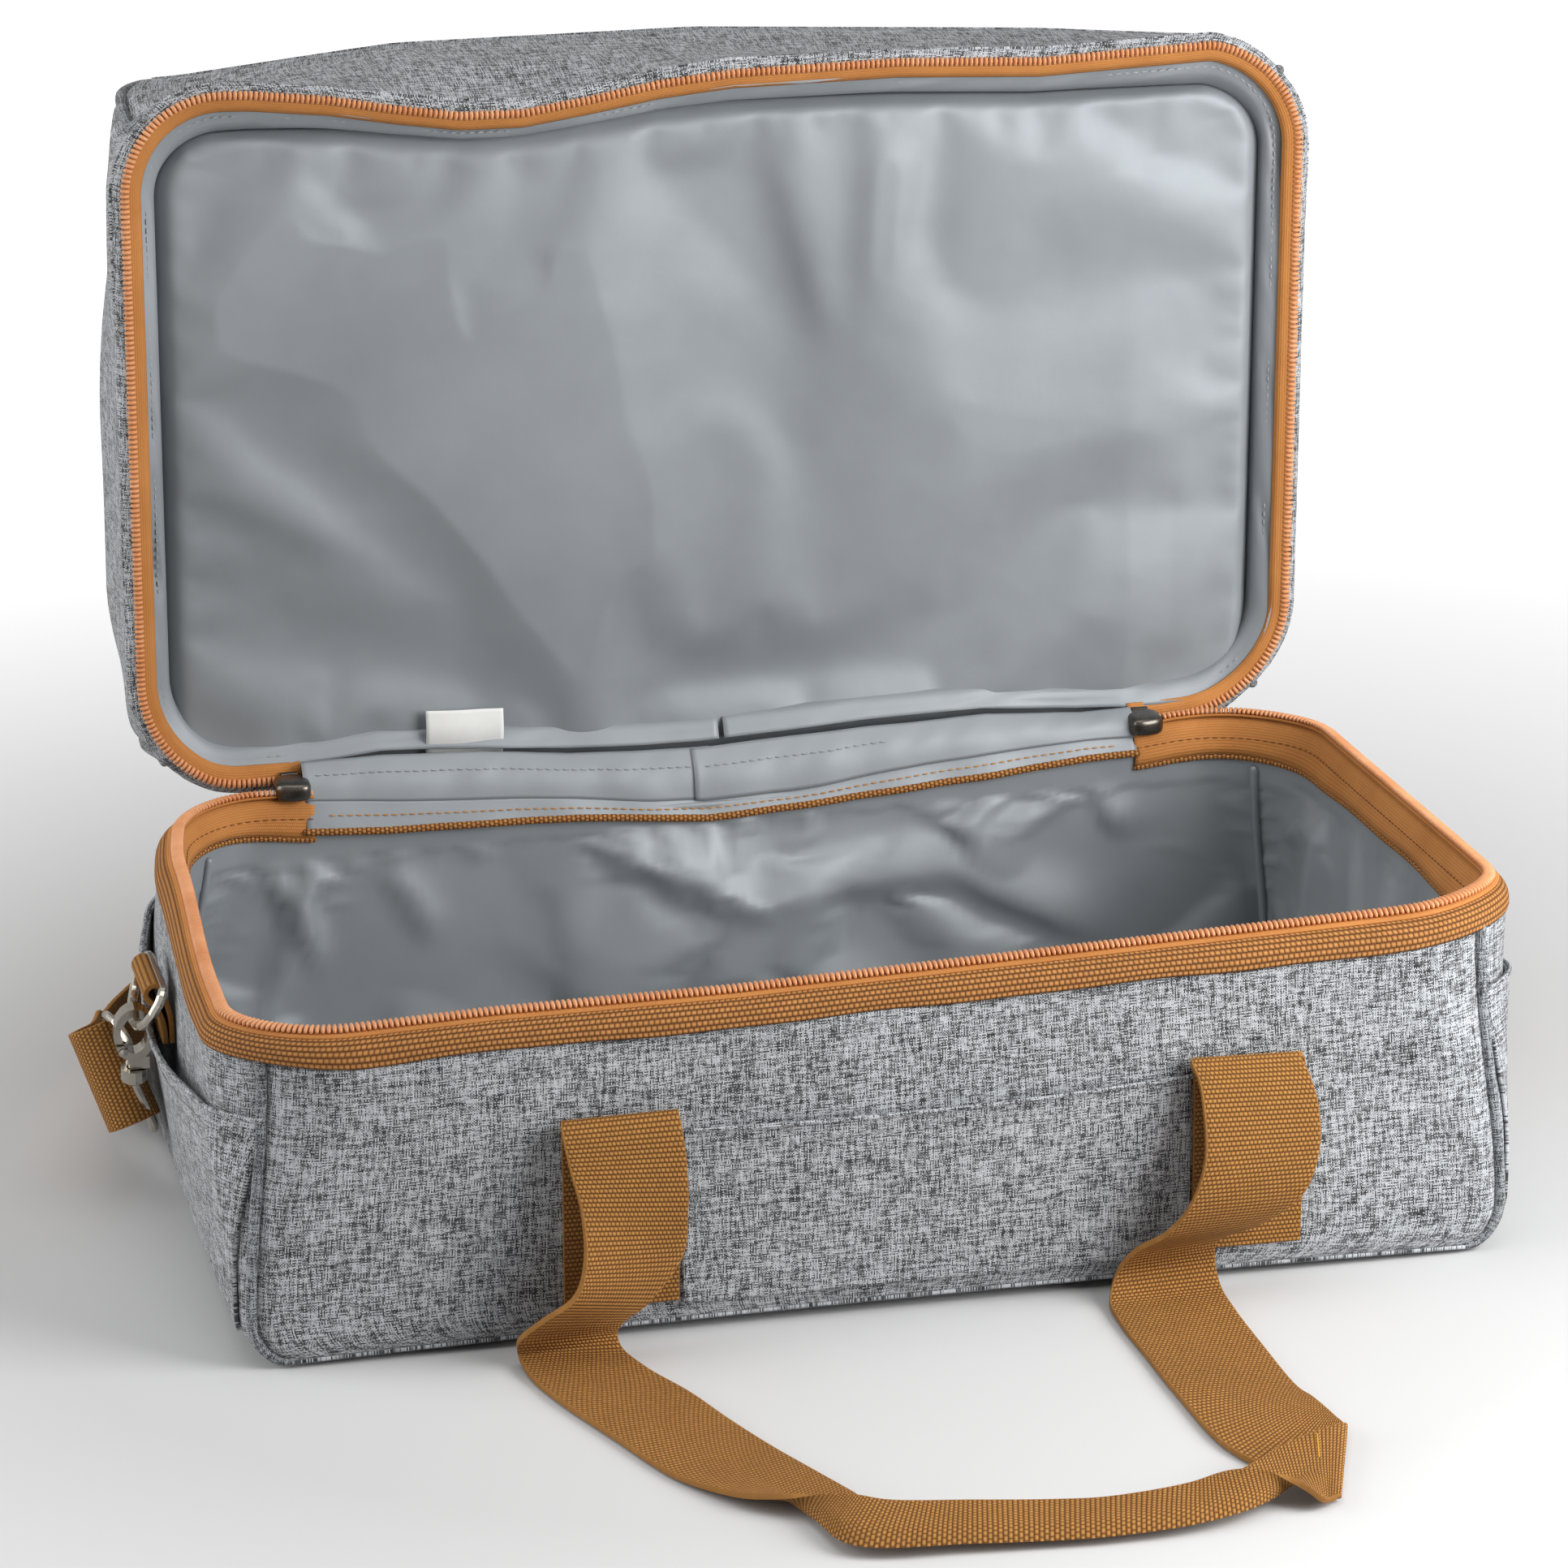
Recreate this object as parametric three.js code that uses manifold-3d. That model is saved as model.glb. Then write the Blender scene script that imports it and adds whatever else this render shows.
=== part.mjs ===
import * as THREE from 'three';
import Module from 'manifold-3d';
import { mergeVertices } from 'three/addons/utils/BufferGeometryUtils.js';

const wasm = await Module();
wasm.setup();

// An insulated picnic bag standing open, in millimetres and degrees. X runs along the bag, Y to the back,
// Z up, and the origin lies under the middle of the base.

// Body
const bagLength = 440;
const bagDepth = 260;
const baseWallHeight = 109;
const lidWallHeight = 70;
const lidOpenAngle = 87;
const faceCornerRadius = 17;
const footCornerRadius = 9;
const rimCornerRadius = 41;
const fabricThickness = 1.2;
const foamThickness = 5;
const liningThickness = 0.8;
const pipingDiameter = 4.4;
const lidLiningDepth = 20;
const layerGap = 0.3;
const foamGap = 0.6;
const seamClearance = 0.8;
const floorClearance = 1.2;

// Rim, zip and hinge
const bindingHeight = 8;
const bindingFoot = 8;
const bindingCrest = 3;
const bindingLean = 3.5;
const coilDiameter = 3.8;
const coilInset = 9;
const tapeWidth = 5.2;
const tapeThickness = 0.8;
const coilLift = 1.7;
const zipGap = 0.8;
const zipReturn = 64;
const hingeThickness = 0.9;
const hingeStripWidth = 6.5;
const hingeStripSlope = 22.6;
const hingeStripInset = 3.5;
const hingeStripDrop = 1.85;
const hingeOffset = 0.2;

// Zip sliders and pull tabs
const sliderLength = 12;
const sliderPlate = 1.1;
const sliderClearance = 0.5;
const sliderBridge = 8;
const pullPinDiameter = 1.6;
const pullPinReach = 2.2;
const pullEyeWall = 0.7;
const pullWidth = 6;
const pullLength = 24;
const pullThickness = 1.5;
const lugWidth = 1.4;

// Webbing, handles and pockets
const webbingWidth = 40;
const webbingThickness = 2;
const handleSpan = 217;
const handleOffset = 15;
const foldHeight = 79;
const tailDrop = 3.5;
const tailFoot = 12;
const gripWidth = 20;
const gripThickness = 4.2;
const gripReach = 300;
const frontPocketHeight = 74;
const frontPocketFoot = 9;
const pocketThickness = 1;
const sidePocketHeight = 80;
const sidePocketDip = 9;
const sidePocketFoot = 20;
const sidePocketWidth = 196;
const sidePocketGape = 8.5;

// Strap hardware
const ringY = 9;
const ringHeight = 93;
const ringStandoff = 8;
const ringWire = 3.6;
const ringSlack = 1.1;
const ringBarHalf = 18;
const ringCornerRadius = 4;
const ringBowStandoff = 16.5;
const ringBowHeight = 76.3;
const tabWidth = 34;
const tabThickness = 2.2;
const tabDrop = 9;
const tabRise = 15;
const eyeHalfWidth = 7.2;
const eyeHalfLength = 11;
const eyeBoreHalfWidth = 4.6;
const eyeBoreHalfLength = 7.6;
const hookThickness = 5;
const hookLean = 14.5;
const gateThickness = 2.2;
const gateClearance = 0.55;
const gateTipAngle = 17;
const gateHeelAngle = 48;
const rivetDiameter = 2;
const rivetHeadDiameter = 3.4;
const rivetHeadHeight = 0.5;
const neckWidth = 7;
const neckEnd = 14.2;
const studDiameter = 4.6;
const studEnd = 20;
const studHeadDiameter = 6.4;
const studHeadHeight = 1.6;
const collarDiameter = 9.2;
const collarHeight = 5;
const swivelClearance = 0.4;
const bailWire = 3.2;
const bailWidth = 43.6;
const bailSeat = 5.8;
const bailMiddle = { out: 16, back: 36, up: 49 };
const bailSlope = { out: -0.33, back: 0, up: -0.944 };

// Shoulder strap
const strapWidth = 38;
const strapThickness = 1.8;
const strapSplit = 80;
const strapHeight = 20.5;
const strapBack = 368;
const adjusterHeight = 23;
const adjusterWire = 3;
const adjusterPitch = 12;

const melange = { color: 0x8e9298, roughness: 0.92, metalness: 0 };
const pipingCloth = { color: 0x7d8187, roughness: 0.92, metalness: 0 };
const foam = { color: 0xe9e9e6, roughness: 0.95, metalness: 0 };
const foil = { color: 0x8f9498, roughness: 0.35, metalness: 0.3 };
const ribbon = { color: 0xb87838, roughness: 0.85, metalness: 0 };
const zipTape = { color: 0xcc8844, roughness: 0.8, metalness: 0 };
const webbing = { color: 0xb07c40, roughness: 0.85, metalness: 0 };
const nickel = { color: 0xc9c4b8, roughness: 0.25, metalness: 1 };
const darkMetal = { color: 0x6b655c, roughness: 0.35, metalness: 1 };
const paper = { color: 0xf4f4f2, roughness: 0.8, metalness: 0 };

const cornerSteps = 4;
const turnSteps = 4;
const riseSteps = 3;
const wireSides = 8;

const degrees = THREE.MathUtils.degToRad;
const mix = THREE.MathUtils.lerp;
const vec = (x, y, z) => new THREE.Vector3(x, y, z);
const flat = (x, y) => new THREE.Vector2(x, y);

const hingeLength = bagLength - 2 * zipReturn;
const foamInset = fabricThickness + foamGap;
const liningInset = foamInset + foamThickness + foamGap;
const pipingRadius = pipingDiameter / 2;
const seamLift = pipingDiameter + seamClearance;
const seamTrim = pipingRadius + seamClearance;
const coilRadius = coilDiameter / 2;
const bindingTop = baseWallHeight + layerGap + bindingHeight;
const rimRise = coilLift + coilRadius + zipGap / 2;
const rimPlane = bindingTop + rimRise;
const lidRim = lidWallHeight + rimRise;
const hingeY = bagDepth / 2 + hingeOffset;
const frontFace = -bagDepth / 2;

const bag = new THREE.Group();

function addMesh(group, name, geometry, finish) {
  const mesh = new THREE.Mesh(geometry, new THREE.MeshStandardMaterial(finish));
  mesh.name = name;
  group.add(mesh);
  return mesh;
}

function geometryFrom(points, triangles) {
  const geometry = new THREE.BufferGeometry();
  geometry.setFromPoints(points);
  geometry.setIndex(triangles.flat());
  return geometry;
}

// Closed body through a row of rings; the first and last are capped, or joined when it runs in a circle.
// The two faces of a strip are split along the same diagonals, so it keeps its thickness where it twists.
function ringBody(rings, caps) {
  const count = rings[0].length;
  const triangles = [];
  const bands = caps ? rings.length - 1 : rings.length;
  for (let k = 0; k < bands; k += 1) {
    const low = k * count;
    const high = ((k + 1) % rings.length) * count;
    for (let i = 0; i < count; i += 1) {
      const j = (i + 1) % count;
      if (i < count / 2) {
        triangles.push([low + i, low + j, high + j], [low + i, high + j, high + i]);
      } else {
        triangles.push([low + i, low + j, high + i], [low + j, high + j, high + i]);
      }
    }
  }
  if (caps) {
    const last = (rings.length - 1) * count;
    for (const [a, b, c] of caps) {
      triangles.push([a, c, b], [last + a, last + b, last + c]);
    }
  }
  return geometryFrom(rings.flat(), triangles);
}

function fanCaps(count) {
  const caps = [];
  for (let i = 1; i < count - 1; i += 1) {
    caps.push([0, i, i + 1]);
  }
  return caps;
}

// Sheet with thickness between two matching grids of points, outer face first.
function sheetBody(outer, inner) {
  const columns = outer[0].length;
  const size = outer.length * columns;
  const triangles = [];
  const border = [];
  for (let r = 0; r < outer.length - 1; r += 1) {
    for (let c = 0; c < columns - 1; c += 1) {
      const a = r * columns + c;
      const b = a + 1;
      const d = a + columns;
      const e = d + 1;
      triangles.push([a, b, e], [a, e, d]);
      triangles.push([size + a, size + e, size + b], [size + a, size + d, size + e]);
    }
  }
  for (let c = 0; c < columns; c += 1) {
    border.push(c);
  }
  for (let r = 1; r < outer.length; r += 1) {
    border.push((r + 1) * columns - 1);
  }
  for (let c = columns - 2; c >= 0; c -= 1) {
    border.push((outer.length - 1) * columns + c);
  }
  for (let r = outer.length - 2; r > 0; r -= 1) {
    border.push(r * columns);
  }
  border.forEach((p, i) => {
    const q = border[(i + 1) % border.length];
    triangles.push([q, p, size + p], [q, size + p, size + q]);
  });
  return geometryFrom([...outer.flat(), ...inner.flat()], triangles);
}

// Body swept along points. Each station's section lies across and square to the path.
function sweepBody(points, sectionAt, acrossAt, closed) {
  const count = points.length;
  const rings = points.map((point, i) => {
    const before = points[closed ? (i + count - 1) % count : Math.max(i - 1, 0)];
    const after = points[closed ? (i + 1) % count : Math.min(i + 1, count - 1)];
    const tangent = after.clone().sub(before).normalize();
    const across = acrossAt(i).clone();
    across.addScaledVector(tangent, -across.dot(tangent)).normalize();
    const normal = tangent.clone().cross(across);
    return sectionAt(i).map((p) => point.clone().addScaledVector(across, p.x).addScaledVector(normal, p.y));
  });
  const caps = closed ? null : THREE.ShapeUtils.triangulateShape(sectionAt(0), []);
  return ringBody(rings, caps);
}

function circleSection(radius) {
  const section = [];
  for (let i = 0; i < wireSides; i += 1) {
    const angle = (i / wireSides) * Math.PI * 2;
    section.push(flat(radius * Math.cos(angle), radius * Math.sin(angle)));
  }
  return section;
}

function stripSection(width, thickness) {
  const x = width / 2;
  const y = thickness / 2;
  return [flat(-x, -y), flat(x, -y), flat(x, y), flat(-x, y)];
}

function solid(geometry) {
  const bare = geometry.index ? geometry.clone() : geometry;
  bare.deleteAttribute('normal');
  bare.deleteAttribute('uv');
  const merged = mergeVertices(bare, 1e-4);
  const vertProperties = new Float32Array(merged.attributes.position.array);
  const triVerts = new Uint32Array(merged.index.array);
  return new wasm.Manifold(new wasm.Mesh({ numProp: 3, vertProperties, triVerts }));
}

function geometryOf(manifold) {
  const mesh = manifold.getMesh();
  const geometry = new THREE.BufferGeometry();
  geometry.setAttribute('position', new THREE.BufferAttribute(new Float32Array(mesh.vertProperties), 3));
  geometry.setIndex([...mesh.triVerts]);
  return geometry;
}

function box(width, depth, height) {
  return new THREE.BoxGeometry(width, depth, height);
}

function extruded(shape, depth, curveSegments) {
  const geometry = new THREE.ExtrudeGeometry(shape, { depth, bevelEnabled: false, curveSegments });
  return geometry.translate(0, 0, -depth / 2);
}

// Walls. Each runs from corner seam to corner seam; the ends of the bag turn under into the bottom.
const walls = {
  front: { along: vec(1, 0, 0), out: vec(0, -1, 0), lengthwise: true },
  right: { along: vec(0, 1, 0), out: vec(1, 0, 0), lengthwise: false },
  back: { along: vec(-1, 0, 0), out: vec(0, 1, 0), lengthwise: true },
  left: { along: vec(0, -1, 0), out: vec(-1, 0, 0), lengthwise: false },
};

function halfLength(inset, z) {
  const rise = Math.max(faceCornerRadius - z, 0);
  const turn = faceCornerRadius - inset;
  const reach = rise > 0 ? Math.sqrt(Math.max(turn * turn - rise * rise, 0)) : turn;
  return bagLength / 2 - faceCornerRadius + reach;
}

function cornerRadius(inset, z, wallHeight) {
  const share = THREE.MathUtils.smoothstep(z, faceCornerRadius, wallHeight);
  return mix(footCornerRadius, rimCornerRadius, share) - inset;
}

function wallRow(wall, inset, z, wallHeight, trim) {
  const r = Math.max(cornerRadius(inset, z, wallHeight), layerGap);
  const length = halfLength(inset, z);
  const depth = bagDepth / 2 - inset;
  const half = wall.lengthwise ? length : depth;
  const reach = wall.lengthwise ? depth : length;
  const arc = (r * Math.PI) / 4;
  const sweep = Math.max(arc - trim, 0) / r;
  const shortfall = Math.max(trim - arc, 0);
  const row = [];
  for (const end of [-1, 1]) {
    for (let i = 0; i <= cornerSteps; i += 1) {
      const share = end < 0 ? 1 - i / cornerSteps : i / cornerSteps;
      const along = end * (half - r - shortfall + r * Math.sin(sweep * share));
      const out = reach - r * (1 - Math.cos(sweep * share));
      row.push(vec(0, 0, z).addScaledVector(wall.along, along).addScaledVector(wall.out, out));
    }
  }
  return row;
}

function wallHeights(inset, lowest, wallHeight) {
  const turn = faceCornerRadius - inset;
  const start = Math.acos(Math.min((faceCornerRadius - Math.max(lowest, inset)) / turn, 1));
  const heights = [];
  for (let i = 0; i < turnSteps; i += 1) {
    heights.push(faceCornerRadius - turn * Math.cos(mix(start, Math.PI / 2, i / turnSteps)));
  }
  for (let i = 0; i <= riseSteps; i += 1) {
    heights.push(mix(faceCornerRadius, wallHeight, i / riseSteps));
  }
  return heights;
}

function wallSheet(wall, inset, thickness, wallHeight) {
  const skin = (depth) => {
    const lowest = wall.lengthwise ? seamLift + inset : depth;
    return wallHeights(depth, lowest, wallHeight).map((z) => wallRow(wall, depth, z, wallHeight, seamTrim));
  };
  return sheetBody(skin(inset), skin(inset + thickness));
}

function wallLoop(inset, z, wallHeight) {
  return Object.values(walls).flatMap((wall) => wallRow(wall, inset, z, wallHeight, 0).slice(0, -1));
}

function cornerSeam(wall, wallHeight) {
  const rows = wallHeights(pipingRadius, pipingRadius, wallHeight).map((z) =>
    wallRow(wall, pipingRadius, z, wallHeight, 0),
  );
  const down = rows.map((row) => row[0]).reverse();
  const up = rows.map((row) => row[row.length - 1]);
  return [...down, ...up];
}

function pipingCord(wall, wallHeight, room) {
  const path = cornerSeam(wall, wallHeight);
  return sweepBody(path, () => circleSection(pipingRadius + room), () => wall.out, false);
}

function floorPlate(inset, thickness, sideInset) {
  const length = 2 * (bagLength / 2 - faceCornerRadius - floorClearance);
  const plate = box(length, 2 * (bagDepth / 2 - sideInset), thickness);
  return plate.translate(0, 0, inset + thickness / 2);
}

// Open lining tub: up the outside, over the edge and down the inside.
function liningTub(floor, wallHeight) {
  const inner = liningInset + liningThickness;
  const outside = wallHeights(liningInset, liningInset, wallHeight).filter((z) => z > floor);
  const inside = wallHeights(inner, inner, wallHeight).filter((z) => z > floor + liningThickness);
  const rings = [
    wallLoop(liningInset, floor, wallHeight),
    ...outside.map((z) => wallLoop(liningInset, z, wallHeight)),
    ...inside.reverse().map((z) => wallLoop(inner, z, wallHeight)),
    wallLoop(inner, floor + liningThickness, wallHeight),
  ];
  return ringBody(rings, fanCaps(rings[0].length));
}

// Foam sleeve round the four walls, in one piece.
function foamSleeve(wallHeight, cordRoom) {
  const inner = foamInset + foamThickness;
  const foot = inner + layerGap;
  const heights = wallHeights(inner, foot, wallHeight);
  const rings = [
    ...heights.map((z) => wallLoop(foamInset, z, wallHeight)),
    ...heights.map((z) => wallLoop(inner, z, wallHeight)).reverse(),
  ];
  let sleeve = solid(ringBody(rings, null));
  for (const wall of [walls.front, walls.back]) {
    sleeve = sleeve.subtract(solid(pipingCord(wall, wallHeight, cordRoom)));
  }
  return geometryOf(sleeve);
}

// The five cloth walls of a half of the bag, the piping at the front and back seams and the flat foam.
function addHalf(group, prefix, wallHeight, names) {
  const seamRow = wallRow(walls.front, pipingRadius, pipingRadius, wallHeight, 0);
  const plateInset = seamRow[0].y - frontFace + pipingRadius + layerGap;
  for (const [key, wall] of Object.entries(walls)) {
    const name = `${prefix}_${names[key]}`;
    addMesh(group, `${name}_panel`, wallSheet(wall, 0, fabricThickness, wallHeight), melange);
    if (wall.lengthwise) {
      addMesh(group, `${name}_piping`, pipingCord(wall, wallHeight, 0), pipingCloth);
    }
  }
  addMesh(group, `${prefix}_${names.floor}_panel`, floorPlate(0, fabricThickness, plateInset), melange);
  addMesh(group, `${prefix}_${names.floor}_foam`, floorPlate(foamInset, foamThickness, liningInset), foam);
}

// Path round the rim, from the zip's right end at the back to its left end.
function rimPath(inset, z, endX) {
  const r = rimCornerRadius - inset;
  const x = bagLength / 2 - inset - r;
  const y = bagDepth / 2 - inset - r;
  const corners = [[x, y, 90], [x, -y, 0], [-x, -y, -90], [-x, y, -180]];
  const points = endX < x ? [vec(endX, y + r, z)] : [];
  for (const [cx, cy, start] of corners) {
    for (let i = 0; i <= 2 * cornerSteps; i += 1) {
      const angle = degrees(start - (90 * i) / (2 * cornerSteps));
      points.push(vec(cx + r * Math.cos(angle), cy + r * Math.sin(angle), z));
    }
  }
  if (endX < x) {
    points.push(vec(-endX, y + r, z));
  }
  return points;
}

// Zip half: a flat tape whose inner edge carries the coil.
function zipHalf(seat, endX) {
  const path = rimPath(coilInset, seat + coilLift, endX);
  const tapeFoot = layerGap - coilLift;
  const tapeHead = tapeFoot + tapeThickness;
  const diagonal = coilRadius * Math.SQRT1_2;
  const section = [
    flat(tapeWidth, tapeFoot),
    flat(tapeWidth, tapeHead),
    flat(coilRadius, tapeHead),
    flat(diagonal, diagonal),
    flat(0, coilRadius),
    flat(-diagonal, diagonal),
    flat(-coilRadius, 0),
    flat(-diagonal, -diagonal),
    flat(0, -coilRadius),
    flat(diagonal, tapeFoot),
  ];
  const outward = path.map((point, i) => {
    const before = path[Math.max(i - 1, 0)];
    const after = path[Math.min(i + 1, path.length - 1)];
    return vec(0, 0, 1).cross(after.clone().sub(before)).normalize();
  });
  return sweepBody(path, () => section, (i) => outward[i], false);
}

// Base
addHalf(bag, 'base', baseWallHeight, {
  front: 'front',
  right: 'right',
  back: 'back',
  left: 'left',
  floor: 'bottom',
});
for (const key of Object.keys(walls)) {
  addMesh(bag, `base_${key}_foam`, wallSheet(walls[key], foamInset, foamThickness, baseWallHeight), foam);
}
addMesh(bag, 'base_lining', liningTub(liningInset, baseWallHeight), foil);

const bindingFootZ = baseWallHeight + layerGap;
const bindingRings = [
  wallLoop(0, baseWallHeight, baseWallHeight).map((p) => p.setZ(bindingFootZ)),
  wallLoop(bindingLean, baseWallHeight, baseWallHeight).map((p) => p.setZ(bindingTop)),
  wallLoop(bindingLean + bindingCrest, baseWallHeight, baseWallHeight).map((p) => p.setZ(bindingTop)),
  wallLoop(bindingFoot, baseWallHeight, baseWallHeight).map((p) => p.setZ(bindingFootZ)),
];
addMesh(bag, 'rim_binding', ringBody(bindingRings, null), ribbon);
addMesh(bag, 'base_zip', zipHalf(bindingTop, hingeLength / 2), zipTape);

// The hinge is a folded strip of lining inside the back edge, one leaf on the base and one on the lid.
const hingeLeaf = box(hingeLength - 2 * layerGap, hingeStripWidth, hingeThickness);
const baseHinge = addMesh(bag, 'base_hinge_strip', hingeLeaf.clone(), foil);
baseHinge.position.set(0, hingeY - hingeStripInset, rimPlane - hingeStripDrop);
baseHinge.rotation.x = degrees(hingeStripSlope);

// Lid, drawn shut over the rim and swung open about the hinge line
const lid = new THREE.Group();
lid.position.set(0, hingeY, rimPlane);
lid.rotation.x = -degrees(lidOpenAngle);
bag.add(lid);

const lidHinge = addMesh(lid, 'lid_hinge_strip', hingeLeaf.clone(), foil);
lidHinge.position.set(0, -hingeStripInset, hingeStripDrop);
lidHinge.rotation.x = -degrees(hingeStripSlope);

const lidHalf = new THREE.Group();
lidHalf.position.set(0, -hingeY, lidRim);
lidHalf.rotation.y = Math.PI;
lid.add(lidHalf);
addHalf(lidHalf, 'lid', lidWallHeight, {
  front: 'front',
  right: 'left',
  back: 'back',
  left: 'right',
  floor: 'top',
});
addMesh(lidHalf, 'lid_wall_foam', foamSleeve(lidWallHeight, foamGap), foam);
const lidFloor = lidRim - lidLiningDepth;
addMesh(lidHalf, 'lid_lining', liningTub(lidFloor, lidWallHeight), foil);
const cornerStart = bagLength / 2 - rimCornerRadius;
addMesh(lidHalf, 'lid_zip', zipHalf(lidWallHeight, cornerStart), zipTape);

const label = { width: 29, length: 19, thickness: 0.5, across: 96, fromBack: 22 };
const labelMesh = addMesh(lidHalf, 'care_label', box(label.width, label.length, label.thickness), paper);
const labelSeat = lidFloor + liningThickness + layerGap + label.thickness / 2;
labelMesh.position.set(label.across, bagDepth / 2 - label.fromBack, labelSeat);

// Slider: a channel round the base coil with a bridge over the binding to the pull tab outside.
function sliderBody() {
  const inner = coilRadius + sliderClearance;
  const outer = inner + sliderPlate;
  const shape = new THREE.Shape();
  shape.moveTo(-outer, -outer);
  shape.lineTo(coilRadius, -outer);
  shape.lineTo(coilRadius, -inner);
  shape.lineTo(-inner, -inner);
  shape.lineTo(-inner, inner);
  shape.lineTo(sliderBridge, inner);
  shape.lineTo(sliderBridge, outer);
  shape.lineTo(-outer, outer);
  shape.closePath();
  const lug = new THREE.Shape();
  const pinX = sliderBridge + pullPinReach;
  lug.moveTo(sliderBridge - sliderPlate, inner);
  lug.lineTo(pinX, inner - pullPinDiameter / 2);
  lug.absarc(pinX, inner, pullPinDiameter / 2, -Math.PI / 2, Math.PI / 2, false);
  lug.lineTo(sliderBridge - sliderPlate, outer);
  lug.closePath();
  const pin = new THREE.Shape();
  pin.absarc(pinX, inner, pullPinDiameter / 2, 0, Math.PI * 2, false);
  const lugPlace = pullWidth / 2 + layerGap + lugWidth / 2;
  let body = solid(extruded(shape, sliderLength, 4));
  for (const end of [-1, 1]) {
    body = body.add(solid(extruded(lug, lugWidth, 4).translate(0, 0, end * lugPlace)));
  }
  body = body.add(solid(extruded(pin, 2 * lugPlace, 4)));
  return geometryOf(body);
}

function pullTab() {
  const bore = pullPinDiameter / 2 + layerGap;
  const eye = bore + pullEyeWall;
  const half = pullThickness / 2;
  const start = Math.asin(half / eye);
  const shape = new THREE.Shape();
  shape.absarc(0, 0, eye, -Math.PI / 2 + start, (3 * Math.PI) / 2 - start, false);
  shape.lineTo(-half, -pullLength);
  shape.lineTo(half, -pullLength);
  shape.closePath();
  const hole = new THREE.Path();
  hole.absarc(0, 0, bore, 0, Math.PI * 2, true);
  shape.holes.push(hole);
  return extruded(shape, pullWidth, 8);
}

// Handle: one webbing from a fold over its sewn tail, down to the floor and out to a doubled grip.
function handlePath(front) {
  const leftX = handleOffset - handleSpan / 2;
  const rightX = handleOffset + handleSpan / 2;
  const lay = webbingThickness / 2 + layerGap;
  const tailFront = 2 * layerGap + webbingThickness;
  const gripLay = gripThickness / 2 + layerGap;
  const start = tailFront + webbingThickness / 2;
  const pattern = handleSpan / 217; // the lie below is drawn for this span
  const out = (y) => front * (bagDepth / 2 + y);
  const across = vec(1, 0, 0);
  return [
    [vec(leftX, out(start), foldHeight - 5 * pattern), across, 0],
    [vec(leftX, out(start + 0.4 * pattern), foldHeight - 1 * pattern), across, 0],
    [vec(leftX, out(start + 3.4 * pattern), foldHeight + 1.6 * pattern), across, 0],
    [vec(leftX, out(start + 7 * pattern), foldHeight - 2 * pattern), across, 0],
    [vec(leftX - 1 * pattern, out(14 * pattern), foldHeight - 20 * pattern), across, 0],
    [vec(leftX - 3 * pattern, out(16 * pattern), 40 * pattern), across, 0],
    [vec(leftX - 6 * pattern, out(19 * pattern), 22 * pattern), across, 0],
    [vec(leftX - 8 * pattern, out(28 * pattern), 9 * pattern), across, 0],
    [vec(leftX - 8 * pattern, out(44 * pattern), 3 * pattern), across, 0],
    [vec(leftX - 4 * pattern, out(66 * pattern), lay), vec(1, -0.1 * front, 0), 0],
    [vec(leftX + 3 * pattern, out(94 * pattern), lay), vec(1, -0.25 * front, 0), 0],
    [vec(leftX + 14 * pattern, out(122 * pattern), lay), vec(0.9, -0.45 * front, 0), 0],
    [vec(leftX + 34 * pattern, out(gripReach - 150 * pattern), gripLay), vec(0.75, -0.65 * front, 0), 0.5],
    [vec(leftX + 60 * pattern, out(gripReach - 128 * pattern), gripLay), vec(0.35, -0.93 * front, 0), 1],
    [vec(handleOffset, out(gripReach - 121 * pattern), gripLay), vec(0, -front, 0), 1],
    [vec(rightX - 52 * pattern, out(gripReach - 130 * pattern), gripLay), vec(-0.3, -0.95 * front, 0), 1],
    [vec(rightX - 30 * pattern, out(gripReach - 150 * pattern), gripLay), vec(-0.85, -0.5 * front, 0), 0.5],
    [vec(rightX - 32 * pattern, out(114 * pattern), lay), vec(-1, -0.05 * front, 0), 0],
    [vec(rightX - 33 * pattern, out(84 * pattern), lay), vec(-1, 0, 0), 0],
    [vec(rightX - 32 * pattern, out(60 * pattern), lay + 0.4 * pattern), vec(-1, 0, 0), 0],
    [vec(rightX - 29 * pattern, out(42 * pattern), 5 * pattern), vec(-1, 0, 0), 0],
    [vec(rightX - 23 * pattern, out(29 * pattern), 13 * pattern), vec(-1, 0, 0), 0],
    [vec(rightX - 16 * pattern, out(21 * pattern), 27 * pattern), vec(-1, 0, 0), 0],
    [vec(rightX - 9 * pattern, out(17 * pattern), 43 * pattern), vec(-1, 0, 0), 0],
    [vec(rightX - 3 * pattern, out(14.5 * pattern), foldHeight - 20 * pattern), vec(-1, 0, 0), 0],
    [vec(rightX, out(start + 7 * pattern), foldHeight - 2 * pattern), vec(-1, 0, 0), 0],
    [vec(rightX, out(start + 3.4 * pattern), foldHeight + 1.6 * pattern), vec(-1, 0, 0), 0],
    [vec(rightX, out(start + 0.4 * pattern), foldHeight - 1 * pattern), vec(-1, 0, 0), 0],
    [vec(rightX, out(start), foldHeight - 5 * pattern), vec(-1, 0, 0), 0],
  ];
}

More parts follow.
